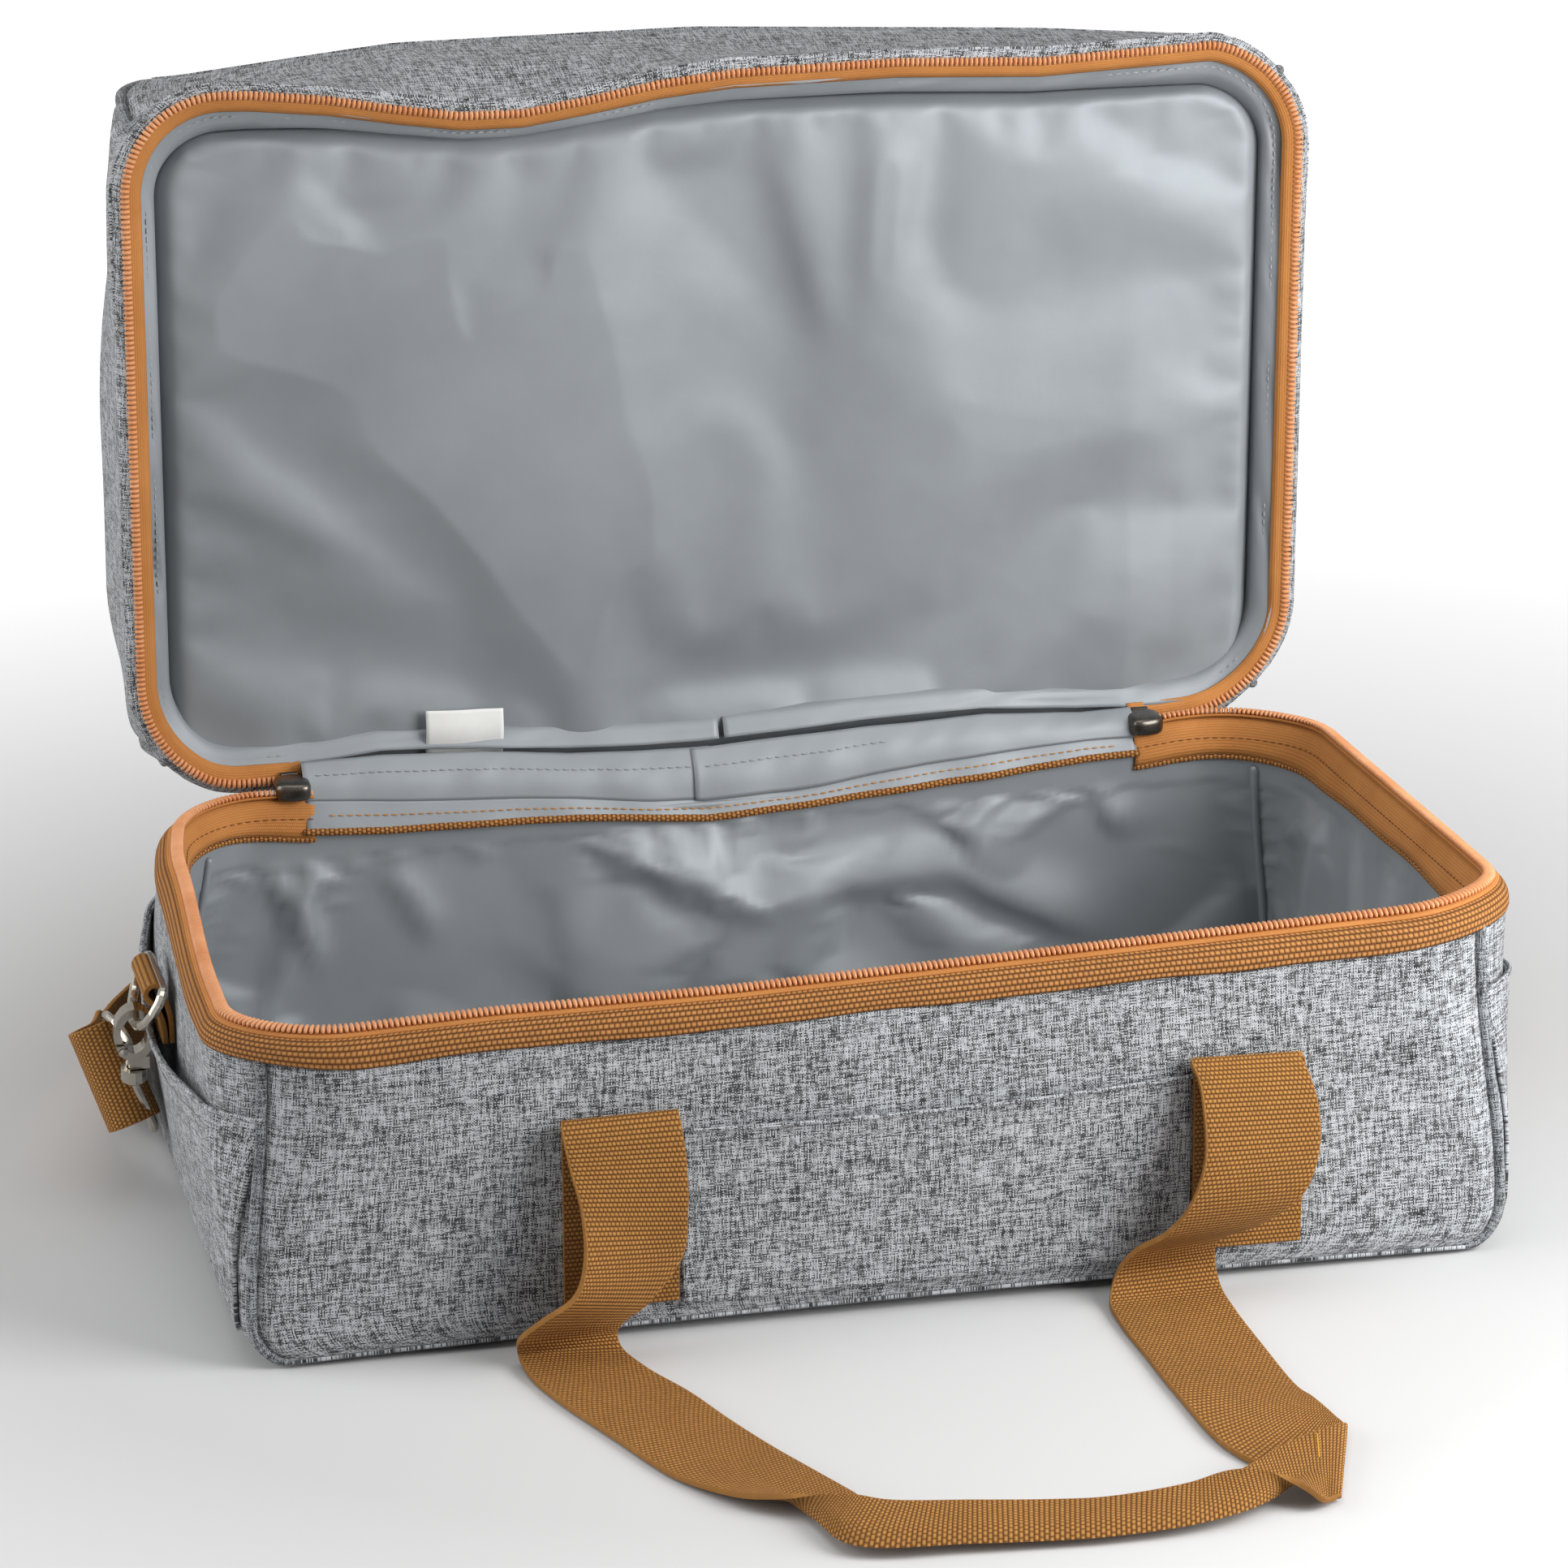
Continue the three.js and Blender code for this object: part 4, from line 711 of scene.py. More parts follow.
rimBinding = {"outer": [(-0.5, 108.4), (-0.8, 109.4), (-0.6, 111.5), (0.1, 113.6), (1.2, 115.4), (2.6, 116.7),
                        (4.0, 117.2)],
              "inner": [(4.6, 117.5), (6.4, 117.5), (8.0, 116.4), (9.0, 114), (9.9, 110), (10.7, 106.5),
                        (11.0, 103.4)], "edge": (10.6, 102.6), "edgeRadius": 1.1,
              "columns": 520, "wave": 0.8, "stitchZ": 110.4, "gap": 157.4, "edgeGap": 158.0, "seed": 23,
              "frayed": [0, 0, 0, 0, 0.2, 0.6, 1.0], "fray": 2.2, "edgeFray": 1.4}
zipHalf = {"base": {"tape": [(3.2, 117.6), (5.0, 118.1), (7.0, 118.4), (9.2, 118.6)], "inset": 6.9, "z": 119.9,
                    "tooth": 4.7},
           "lid": {"tape": [(4.2, 120.4), (6.2, 120.2), (8.4, 119.6), (10.6, 118.4)], "inset": 4.8, "z": 121.0,
                   "tooth": 3.6},
           "gap": 157.6, "toothWidth": 1.62, "toothHeight": 2.3, "pitch": 1.85, "tapeThickness": 0.0007,
           "columns": 520}


def toothShape(long):
    tooth = smallBall(8, 5, zipHalf["toothWidth"], long, zipHalf["toothHeight"])
    for corner in tooth.data.vertices:   # square off the ends and hook the outer one down to the tape
        share = corner.co.y / (long * 0.0005)
        corner.co.y = math.copysign(abs(share) ** 0.55, share) * long * 0.0005
        corner.co.z -= 0.0006 * max(0.0, -share)
    return tooth


def addZip(prefix, move, body, nodes):
    size, half = zipHalf, zipHalf[prefix]
    tape = clothSheet(f"{prefix}ZipTape", rimTable(half["tape"][::-1], size["columns"], move, size["gap"]))
    sewSheet(tape, size["tapeThickness"], 0, zipTape, body, "zip_tape", nodes)
    path = rimTable([(half["inset"], half["z"]), (half["inset"], half["z"] + 1)], 900, move, size["gap"])
    coil = rowAlong(f"{prefix}ZipCoil", toothShape(half["tooth"]), path[0], path[1] - path[0], size["pitch"])
    finishPiece(coil, zipCoil, body, "zip_tape")


def bindRim():
    size = rimBinding
    ribbon = clothSheet("rimRibbon", rimTable(size["outer"], size["columns"], slump, wave=size["wave"]), closed=True)
    sewSheet(ribbon, 0.0009, 0, ribbonCloth, "base", "ribbon", ["rim_binding"])
    tapeRows = rimTable(size["inner"], size["columns"], asGiven, size["gap"])
    swell = ripple(np.linspace(0, 1000, size["columns"]), 0, size["seed"], 60, size["fray"])
    tapeRows[..., 2] += np.array(size["frayed"])[:, None] * swell[None]
    inside = clothSheet("rimTape", slump(tapeRows))
    sewSheet(inside, 0.0008, 0, zipTape, "base", "zip_tape")
    hem = rimTable([(10.3, size["stitchZ"]), (11.3, size["stitchZ"])], 700, slump, size["gap"])
    stitchRow("rimStitches", hem[0], hem[1] - hem[0], brownThread, "base", "ribbon")
    edgeRow = rimTable([size["edge"]], 600, asGiven, size["edgeGap"])[0]
    edgeRow[:, 2] += ripple(np.linspace(0, 1000, 600), 0, size["seed"], 60, size["edgeFray"])
    edging = roundCord("rimInnerEdge", slump(edgeRow), size["edgeRadius"], sides=8)
    finishPiece(edging, ribbonCloth, "base", "ribbon")


bindRim()
addZip("base", slump, "base", ["base_zip"])


# the lid's rim is the base's turned over, measured from the hinge
def lidRimPlace(points):
    return lidTurned(points[..., 0], points[..., 1], bag["hingeZ"] + lidShape["rimClear"] - points[..., 2])


addZip("lid", lidRimPlace, "lid", ["lid_zip"])
lidEdge = {"profile": [(0.3, 116.6), (0.7, 118.2), (2.2, 119.6), (4.0, 120.2), (5.6, 120.2)], "columns": 520}
lip = clothSheet("lidRimEdge", rimTable(lidEdge["profile"], lidEdge["columns"], lidRimPlace)[::-1, :-1], closed=True)
sewSheet(lip, 0.0008, 0, melangeCloth, "lid", "melange_cloth")
print("rim bound and zips set")

# foil linings

baseLining = {"top": 110.0, "growth": 0.03, "bend": 1.2, "frames": 22, "cap": 7.0, "foot": 9.0, "inset": 9.4,
              "rows": 60, "thickness": 0.6,
              "backFolds": [(-60, 100, 10, 66, 16, 5.5), (10, 66, 95, 72, 15, 6), (95, 72, 150, 40, 14, 5.5),
                            (70, 104, 105, 84, 8, 3.5),
                            (120, 108, 96, 88, 7, 3.5), (-190, 92, -166, 52, 7, 3.5), (-172, 94, -184, 40, 8, 3),
                            (-140, 92, -120, 60, 9, 2.5), (150, 108, 165, 78, 9, 4),
                            (20, 40, 60, 18, 12, 3.5), (-90, 60, -30, 20, 24, 3)],
              "sideFolds": [(-70, 100, -40, 40, 12, 4.5), (-20, 104, 10, 30, 14, 5), (40, 102, 30, 50, 10, 4),
                            (80, 106, 90, 30, 14, 4)],
              "seamHeld": 3.5, "heldZ": 99, "backY": 100, "backHeldZ": 95, "walls": (196.0, 108.0), "bead": 1.5,
              "floor": (211, 121),
              "floorFolds": [(-150, -90, -60, 20, 14, 3), (40, -60, 130, 60, 16, 3), (-40, 90, 60, 40, 12, 2.5)]}
clothYarn = {"quality": 6, "mass": 0.12, "stretch": 18, "shear": 8, "damping": 8}


# cloth that is held where marked, grows a little and settles into creases, no place moving past the cap
def settleCloth(piece, held, size, push=0.0):
    start = meshSpots(piece)
    bpy.context.view_layer.objects.active = piece
    group = piece.vertex_groups.new(name="held")
    for number in np.nonzero(held)[0]:
        group.add([int(number)], 1.0, "REPLACE")
    bpy.ops.object.modifier_add(type="CLOTH")
    cloth = piece.modifiers[-1]
    settings = cloth.settings
    settings.quality, settings.mass = clothYarn["quality"], clothYarn["mass"]
    settings.tension_stiffness = settings.compression_stiffness = clothYarn["stretch"]
    settings.shear_stiffness = clothYarn["shear"]
    settings.bending_stiffness = size["bend"]
    settings.tension_damping = settings.compression_damping = clothYarn["damping"]
    settings.shrink_min = -size["growth"]
    settings.vertex_group_mass = "held"
    settings.effector_weights.gravity = 0
    settings.use_pressure = push != 0
    settings.uniform_pressure_force = push
    cloth.collision_settings.use_collision = False
    cloth.point_cache.frame_start, cloth.point_cache.frame_end = 1, size["frames"]
    for step in range(1, size["frames"] + 1):
        scene.frame_set(step)
    bpy.ops.object.modifier_apply(modifier=cloth.name)
    scene.frame_set(1)
    piece.vertex_groups.clear()
    shift = meshSpots(piece) - start
    far = np.linalg.norm(shift, axis=1, keepdims=True)
    moveSpots(piece, start + shift * np.minimum(1, size["cap"] / np.maximum(far, 1e-6)))


# the lining's wall as a table of places, hung from the rim in folds
def liningTable():
    size = baseLining
    walls = []
    share = np.linspace(0, 1, size["rows"])[:, None]
    z = size["top"] + (size["foot"] - size["top"]) * share
    for number, (side, count) in enumerate((("back", 110), ("left", 70), ("front", 110), ("right", 70))):
        along = np.linspace(0, 1, count)[None, :]
        span = bag["length"] if side in ("front", "back") else bag["depth"]
        a = (along - 0.5) * span * (-1 if side in ("back", "left") else 1)
        folds = foldField(a, z, size["backFolds" if side in ("back", "front") else "sideFolds"])
        held = smooth(0.08, 0.3, share) * smooth(0, 14, (0.5 - np.abs(along - 0.5)) * span)
        push = (folds + np.abs(ripple(a, z, 31 + number, 120, 1.6))) * held
        walls.append(slump(wallSpot(side, along, z, size["inset"] + push, bag["baseWall"])))
    return np.concatenate([walls[0][:, :-1], walls[1][:, :-1], walls[2][:, :-1], walls[3]], axis=1)


def addLiningWall():
    size = baseLining
    skin = clothSheet("baseLiningWall", liningTable(), closed=True)
    spots = meshSpots(skin)
    rise = np.linspace(size["foot"], size["top"], 50)
    seams = np.concatenate([slump(wallSpot(side, 1.0, rise, size["inset"], bag["baseWall"])) for side in sides])
    near = np.min([np.linalg.norm(spots - seam, axis=1) for seam in seams], axis=0)
    height = np.interp(spots[:, 0], baseSlump["x"], baseSlump["front"])
    level = spots[:, 2] - np.minimum(height, 0)
    held = ((near < size["seamHeld"]) | (spots[:, 2] < size["foot"] + 2) | (level > size["heldZ"])
            | ((spots[:, 1] > size["backY"]) & (level > size["backHeldZ"])))
    settleCloth(skin, held, size)
    moved = meshSpots(skin)   # the wall behind lets it give inwards only
    for axis, wall in enumerate(size["walls"]):
        onWall = np.abs(spots[:, axis]) > wall
        limit = np.abs(spots[:, axis]) + 0.6
        moved[:, axis] = np.where(onWall, np.clip(moved[:, axis], -limit, limit), moved[:, axis])
    moveSpots(skin, moved)
    sewSheet(skin, size["thickness"] * 0.001, 1, foilLining, "base", "foil_lining", ["base_lining"])


def addLiningFloor():
    size = baseLining
    halfX, halfY = size["floor"]
    x, y = np.meshgrid(np.linspace(-halfX, halfX, 120), np.linspace(-halfY, halfY, 80))
    lift = ripple(x, y, 8, 130, 1.0) + foldField(x, y, size["floorFolds"])
    bed = clothSheet("baseLiningFloor", slump(np.stack([x, y, size["foot"] + 0.4 + np.abs(lift)], axis=-1)))
    sewSheet(bed, size["thickness"] * 0.001, -1, foilLining, "base", "foil_lining")


def addLiningSeams():
    size = baseLining
    rise = np.linspace(size["foot"] + 2, size["heldZ"], 60)
    for number, side in enumerate(sides):
        seam = slump(wallSpot(side, 1.0, rise, size["inset"] + 1.2, bag["baseWall"]))
        bead = roundCord(f"baseLiningSeam{number}", seam, size["bead"], hint=(0.7, 0.7, 0), sides=10)
        finishPiece(bead, foilLining, "base", "foil_lining")


addLiningWall()
addLiningFloor()
addLiningSeams()

# panel over the lid's foam, sewn down round its edge and loose in the middle
lidPanel = {"halfX": 205.2, "halfY": 122.0, "corner": 24.0, "middle": -122.5, "edge": 16.0, "crown": 8.6,
            "columns": 132, "rows": 84,
            "growth": 0.006, "bend": 6.0, "push": 0.3, "frames": 26, "cap": 5.0, "foldShare": 0.55, "sewn": 5,
            "folds": [(-40, -52, -205, 92, 70, 6.0), (-205, 40, -95, -60, 24, -4.0), (-205, 0, -130, -40, 18, 3.0),
                      (-30, 112, 45, 20, 34, -6.0),
                      (22, 105, 44, 30, 14, 4.0), (62, 112, 58, 40, 16, 4.0), (84, 110, 74, 56, 13, -3.5),
                      (-95, 62, -90, 8, 9, -2.2),
                      (-62, 78, -52, 42, 8, 2.2), (-40, -92, 150, -100, 18, -4.0), (120, -74, 195, -92, 18, 2.4),
                      (-190, -70, -60, -96, 26, -3.5),
                      (150, 108, 195, 84, 18, -1.6), (100, 60, 180, 92, 34, 2.2), (110, 40, 190, 50, 30, -1.8),
                      (-150, 110, -120, 80, 16, -4.0),
                      (-175, 96, -110, 104, 20, 2.5), (60, -30, 190, 10, 60, 2.5)]}


# how far inside the panel's rounded outline a place lies
def insideEdge(x, y):
    size = lidPanel
    pastX, pastY = (np.abs(a) - (size[key] - size["corner"]) for a, key in ((x, "halfX"), (y, "halfY")))
    return (size["corner"] - np.hypot(np.maximum(pastX, 0), np.maximum(pastY, 0))
            - np.minimum(np.maximum(pastX, pastY), 0))


def addLidLining():
    size = lidPanel
    u, v = np.meshgrid(np.linspace(1, -1, size["columns"]), np.linspace(-1, 1, size["rows"]))
    ring = np.maximum(np.maximum(np.abs(u), np.abs(v)), 1e-6)
    x, y = u / ring * size["halfX"], v / ring * size["halfY"]
    coreX = np.clip(x, size["corner"] - size["halfX"], size["halfX"] - size["corner"])
    coreY = np.clip(y, size["corner"] - size["halfY"], size["halfY"] - size["corner"])
    offX, offY = x - coreX, y - coreY
    shrink = size["corner"] / np.maximum(np.hypot(offX, offY), size["corner"])
    x, y = (coreX + offX * shrink) * ring, (coreY + offY * shrink) * ring
    edge = insideEdge(x, y)
    up = -y   # towards the lid's front edge once opened
    loose = smooth(4, 30, edge)
    depth = size["crown"] + (size["edge"] - size["crown"]) * (1 - smooth(-1, 7, edge))
    depth = depth - loose * (size["foldShare"] * foldField(x, up, size["folds"]) + ripple(x, up, 77, 190, 1.2))
    closed = np.stack([x, size["middle"] + y, np.clip(depth, 5.5, 22)], axis=-1)
    skin = clothSheet("lidLiningPanel", closed)
    spots = meshSpots(skin)
    settleCloth(skin, insideEdge(spots[:, 0], spots[:, 1] - size["middle"]) < size["sewn"], size, size["push"])
    useModifier(skin, "SUBSURF", levels=1, render_levels=1)
    spots = meshSpots(skin)
    spots[:, 2] = np.clip(spots[:, 2], 4.8, 24)
    moveSpots(skin, openLid(lidGive(spots)))
    sewSheet(skin, 0.0006, -1, foilLining, "lid", "foil_lining", ["lid_lining", "lid_wall_foam"])


addLidLining()

# facing strip that runs inside the lid's zip and turns down into the recess
lidFacing = {"profile": [(9.4, 2.9), (10.6, 3.8), (12.4, 4.8), (14.2, 5.6), (15.3, 6.8), (15.8, 9.0), (15.8, 13.0),
                         (15.2, 24.0)],
             "columns": 620, "wave": 1.3, "pucker": 0.7, "stitch": (12.6, 4.9)}


def addLidFacing():
    rows = [(inset, bag["hingeZ"] - z) for inset, z in lidFacing["profile"]]
    flat = rimTable(rows, lidFacing["columns"], asGiven)
    run = np.linspace(0, rimRun, lidFacing["columns"])[None]
    across = np.arange(len(rows))[:, None]
    ends = smooth(0, 60, run) * smooth(rimRun, rimRun - 60, run)
    swell = lidFacing["wave"] * ripple(run, 0 * across, 19, 45, 1.0) * smooth(1, 0, across / 4)
    pucker = lidFacing["pucker"] * ripple(run + 6 * across, 7.0 * across, 29, 26,
                                          1.0) * np.sin(math.pi * np.clip(across / 5, 0, 1))
    flat[..., 2] += ends * (swell + pucker)
    table = lidRimPlace(flat)
    skin = clothSheet("lidFacing", table[::-1, :-1], closed=True)
    sewSheet(skin, 0.0006, 0, foilLining, "lid", "foil_lining")
    inset, z = lidFacing["stitch"]
    line = rimTable([(inset, bag["hingeZ"] - z), (inset, bag["hingeZ"] + 1 - z)], 800, lidRimPlace, 160)
    stitchRow("lidFacingStitches", line[0], line[1] - line[0], greyThread, "lid", "foil_lining")


addLidFacing()
print("linings laid")

# hinge strips between the zip ends

# heights of the slack strips along the hinge: head of the upper one, the crease between them, foot of the lower one
hingeStrips = {"x": [-160, -128, -90, -58, -28, -8, 25, 58, 101, 138, 160],
               "head": [126.5, 127.5, 125.5, 122.2, 121.2, 121, 122.8, 124.7, 126, 123.5, 124],
               "crease": [114.5, 111.8, 109.4, 107.5, 104.2, 102.6, 104.6, 108.4, 112.5, 114.4, 115],
               "foot": [103.6, 101.9, 101.4, 100.9, 98.4, 96.6, 98.6, 101.3, 104.7, 108.4, 109],
               "half": 158.0, "headY": 130.0, "creaseY": 121.8, "footY": 118.9, "belly": 1.8, "thickness": 0.7,
               "joint": (-12.0, -5.0),
               "cord": 1.4, "follow": ((0, 0.124, 0.108), (0, 0.132, 0.122))}


def hingeSpot(x, share, lift=0.0):
    size = hingeStrips
    high, crease, foot = (np.interp(x, size["x"], size[key]) for key in ("head", "crease", "foot"))
    high = high + ripple(x, 0 * x, 61, 80, 0.5)
    crease = crease + ripple(x, 0 * x, 63, 60, 0.5)
    upper = np.clip(share, 0, 1)
    lower = np.clip(share - 1, 0, 1)
    y = size["headY"] + (size["creaseY"] - size["headY"]) * upper + (size["footY"] - size["creaseY"]) * lower
    z = high + (crease - high) * upper + (foot - crease) * lower
    belly = size["belly"] * np.sin(math.pi * upper) * (share < 1)
    crinkle = ripple(x + 9 * share, share * 9, 67, 15, 0.32) * np.sin(math.pi * np.clip(upper + 0.15, 0, 1))
    y = y - belly - lift + 0.5 * ripple(x, share * 14, 65, 40, 0.9) + crinkle
    return np.stack([x, y, z + 0.5 * belly], axis=-1)


def hingeSheet(name, low, high, left, right, lift=0.0):
    x, share = np.meshgrid(np.linspace(left, right, int((right - left) / 2)), np.linspace(high, low, 15))
    piece = clothSheet(name, hingeSpot(x, share, lift))
    useModifier(piece, "SOLIDIFY", thickness=hingeStrips["thickness"] * 0.001, offset=0)
    return piece


def hingeLine(share, left, right, lift):
    x = np.linspace(left, right, 160)
    return evenSteps(hingeSpot(x, np.full_like(x, share), lift), 160)


def addHinge():
    size = hingeStrips
    lower = hingeSheet("baseHingeStrip", 1.0, 2.0, -size["half"], size["half"])
    finishPiece(lower, foilLining, "base", "foil_lining", ["base_hinge_strip"])
    edge = roundCord("hingeEdge", hingeLine(2.0, -size["half"], size["half"], 0.2), size["cord"], hint=(0, -1, 0),
                     sides=8)
    finishPiece(edge, ribbonCloth, "base", "ribbon")
    stitchRow("baseHingeStitches", hingeLine(1.45, -150, 150, 0.6), vector(0, -1, 0.3), tanThread, "base",
              "foil_lining")
    nodes = ["lid_hinge_strip"]
    for name, left, right, lift in (("left", -size["half"], size["joint"][1], 0.0),
                                    ("right", size["joint"][0], size["half"], 0.9)):
        upper = hingeSheet(f"{name}LidHingeStrip", 0.0, 1.0, left, right, lift)
        finishPiece(upper, foilLining, None, "foil_lining", nodes)
        nodes = []
        seam = hingeLine(0.36, left + 4, min(right - 4, 62), lift + 0.65)
        row = stitchRow(f"{name}LidHingeStitches", seam, vector(0, -1, 0.3), greyThread, None, "foil_lining")
        for piece in (upper, row):
            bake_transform(piece)


addHinge()

careLabel = {"left": -110.5, "right": -81.5, "foot": (-7.0, 6.4), "head": (-23.6, 4.6)}


def addLabel():
    size = careLabel
    share = np.linspace(0, 1, 16)[:, None]
    x = np.linspace(size["left"], size["right"], 20)[None, :] + 0 * share
    y = size["foot"][0] + (size["head"][0] - size["foot"][0]) * share + 0 * x
    sag = 1.6 * np.sin(math.pi * share)
    z = size["foot"][1] + (size["head"][1] - size["foot"][1]) * share - sag + 0.6 * np.sin(x / 7)
    tag = clothSheet("careLabel", openLid(lidGive(np.stack([x, y, np.broadcast_to(z, x.shape)], axis=-1))))
    sewSheet(tag, 0.0004, 0, labelCloth, "lid", "label_cloth", ["care_label"])


addLabel()
print("hinge and label sewn")

# pockets

# a pocket's cloth from foot to head, the stitches of its hem and its rolled lip
def sewPocket(side, spot, rows, hem, hint, lipSteps, lipRadius):
    cloth = clothSheet(f"{side}Pocket", spot(np.linspace(0, 1, rows)[:, None], 0))
    sewSheet(cloth, 0.0013, -1, melangeCloth, "base", "melange_cloth", [f"{side}_pocket"])
    stitchRow(f"{side}PocketStitches", spot(np.array([[1 - hem]]), 0.1)[0], hint, greyThread, "base", "melange_cloth")
    head = evenSteps(spot(np.array([[1.0]]), 0.2)[0], lipSteps)
    lip = roundCord(f"{side}PocketLip", head, lipRadius, hint=hint, sides=8)
    finishPiece(lip, melangeCloth, "base", "melange_cloth")


frontPocket = {"left": -73.0, "right": 103.0, "foot": 9.0, "head": 74.5, "seat": 1.5, "gape": 1.6, "dip": 1.6,
               "stitchDrop": 6.0}


def addFrontPocket():
    size = frontPocket
    x = np.linspace(size["left"], size["right"], 120)[None, :]
    middle = 1 - ((2 * x - size["left"] - size["right"]) / (size["right"] - size["left"])) ** 2

    def spot(part, proud):
        y = -(bag["depth"] / 2 + size["seat"] + proud + size["gape"] * middle * part ** 4)
        z = size["foot"] + (size["head"] - size["foot"] - size["dip"] * middle) * part
        return slump(np.stack(np.broadcast_arrays(x, y, z), axis=-1))

    sewPocket("front", spot, 60, size["stitchDrop"] / (size["head"] - size["foot"]), vector(0, -1, 0), 140, 0.85)


addFrontPocket()

sidePocket = {"half": 121.0, "foot": 12.0, "head": 88.0, "dip": 13.0, "gape": 6.5, "seat": 1.5, "stitchDrop": 6.0,
              "rise": 62}


def addSidePockets():
    size = sidePocket
    for side, sign in (("left", -1), ("right", 1)):
        along = np.linspace(-1, 1, 110)[None, :]

        def spot(part, proud):
            top = size["head"] - size["dip"] * np.cos(along * math.pi / 2) ** 2
            z = size["foot"] + (top - size["foot"]) * part
            out = size["seat"] + proud + size["gape"] * np.cos(along * math.pi / 2) ** 1.4 * part ** 2.2
            y = np.broadcast_to(along * size["half"] * sign, z.shape)
            r = cornerRadius(0, z, bag["baseWall"])
            past = np.clip(np.abs(y) - (bag["depth"] / 2 - r), 0, None)
            x = sign * (halfLength(0, z) - r + np.sqrt(np.maximum(r ** 2 - past ** 2, 0)) + out)
            return slump(np.stack([x, y, z], axis=-1))

        sewPocket(side, spot, 50, size["stitchDrop"] / size["rise"], vector(sign, 0, 0), 120, 0.9)


addSidePockets()
print("pockets sewn on")

# webbing: handles, tabs and strap


# ribbon along rows of place and which way its width runs
def webbingRibbon(name, rows, width, thickness):
    path, across = rows[:, :3], rows[:, 3:6]
    ahead = unit(np.gradient(path, axis=0))
    across = unit(across - ahead * np.sum(across * ahead, axis=1, keepdims=True))
    reach = np.linspace(-1, 1, webbing["columns"])[None, :, None] * width / 2
    return webbingSheet(name, path[:, None] + reach * across[:, None], thickness, 50)


def webbingSheet(name, table, thickness, angle):
    piece = clothSheet(name, table, span=webbing["span"])
    useModifier(piece, "SOLIDIFY", thickness=thickness * 0.001, offset=0)
    useModifier(piece, "BEVEL", width=webbing["bevel"], segments=2, limit_method="ANGLE",
                angle_limit=math.radians(angle))
    return piece


handle = {"width": 39.0, "thickness": 1.9, "leftX": -93.5, "rightX": 123.5, "tailFoot": 11.0, "tailHead": 77.0,
          "tacks": [(100.0, -283.0), (-52.0, -298.0)]}
# both edges of the webbing as it lies, then how far its outer half is folded over
handleEdges = [
    ((-113, -133.4, 72), (-74, -133.4, 72), 0), ((-113, -133.6, 77), (-74, -133.6, 77), 0),
    ((-113.5, -135.5, 80.4), (-74.3, -135.5, 80.8), 0),
    ((-114.2, -138.6, 80.4), (-74.6, -138.6, 81), 0), ((-114, -141.6, 76.4), (-74.2, -141.6, 76.4), 0),
    ((-112.5, -144.6, 67), (-73.3, -143.8, 65), 0),
    ((-110, -150, 54), (-73.4, -144.5, 49), 0), ((-110.5, -157, 39.5), (-75, -141, 32), 0),
    ((-115.3, -161, 28.6), (-86.5, -142, 17.5), 0),
    ((-125.4, -159, 21.0), (-95.5, -143, 11.6), 0), ((-132, -150, 11), (-97.6, -142.5, 6.6), 0),
    ((-131.4, -144.5, 4.6), (-96.6, -146, 2.8), 0),
    ((-129.7, -158, 1.5), (-91.5, -161, 1.3), 0), ((-124, -180, 1.3), (-82, -184, 1.3), 0),
    ((-113, -211, 1.3), (-74, -209, 1.3), 0),
    ((-101.5, -243, 1.3), (-65.6, -233, 1.5), 0), ((-88, -270, 1.5), (-57.6, -255, 2.4), 0.18),
    ((-80, -301, 2.4), (-50.0, -279.5, 4.4), 0.62),
    ((-69.5, -333, 2.4), (-46.5, -294.4, 6), 0.96), ((-27.4, -339.7, 2.4), (-16.8, -299.7, 4.6), 1),
    ((-2.4, -341.5, 2.2), (8.2, -303.3, 3.6), 1),
    ((14, -342.2, 2.2), (24.6, -305.4, 3.6), 1), ((40.6, -342.4, 2.2), (53, -304, 5), 1),
    ((66, -338, 2.4), (70, -297, 6.5), 0.75),
    ((84, -324, 2.4), (92, -280, 6.5), 0.3), ((93, -316, 2.6), (108, -270, 5.6), 0),
    ((97, -313.5, 2.4), (115, -264.5, 4.0), 0),
    ((97.5, -311, 1.2), (116.5, -261, 1.8), 0), ((93, -303, 1.1), (116, -255, 1.2), 0),
    ((82, -285, 1.2), (115, -247, 1.2), 0),
    ((74.5, -264, 1.3), (113.6, -238, 1.3), 0),
    ((71.8, -223.3, 1.3), (111, -226.7, 1.3), 0), ((71, -188.9, 1.3), (110.5, -193.3, 1.3), 0),
    ((70.4, -161, 1.5), (110.6, -161, 1.5), 0),
    ((71.6, -145.5, 3), (110.8, -144.5, 3.4), 0), ((75.5, -140.6, 10.5), (110.4, -139, 11), 0),
    ((80.5, -145, 19.4), (111, -142, 20), 0),
    ((89.5, -151.6, 27.5), (124, -148, 27), 0), ((97.0, -154, 38), (136.4, -152, 37), 0),
    ((102.2, -152.4, 52), (142.4, -151.4, 51), 0),
    ((103.2, -147.4, 68), (143.4, -147.4, 66.5), 0), ((102.6, -142.6, 78), (141.4, -142.6, 76.6), 0),
    ((101.3, -138.4, 82.6), (139.4, -138.4, 81.6), 0),
    ((102.6, -135.4, 82.4), (141.4, -135.4, 81.4), 0), ((103.6, -133.7, 78.4), (142.8, -133.7, 78.4), 0),
    ((103.7, -133.4, 73), (143, -133.4, 73), 0)]


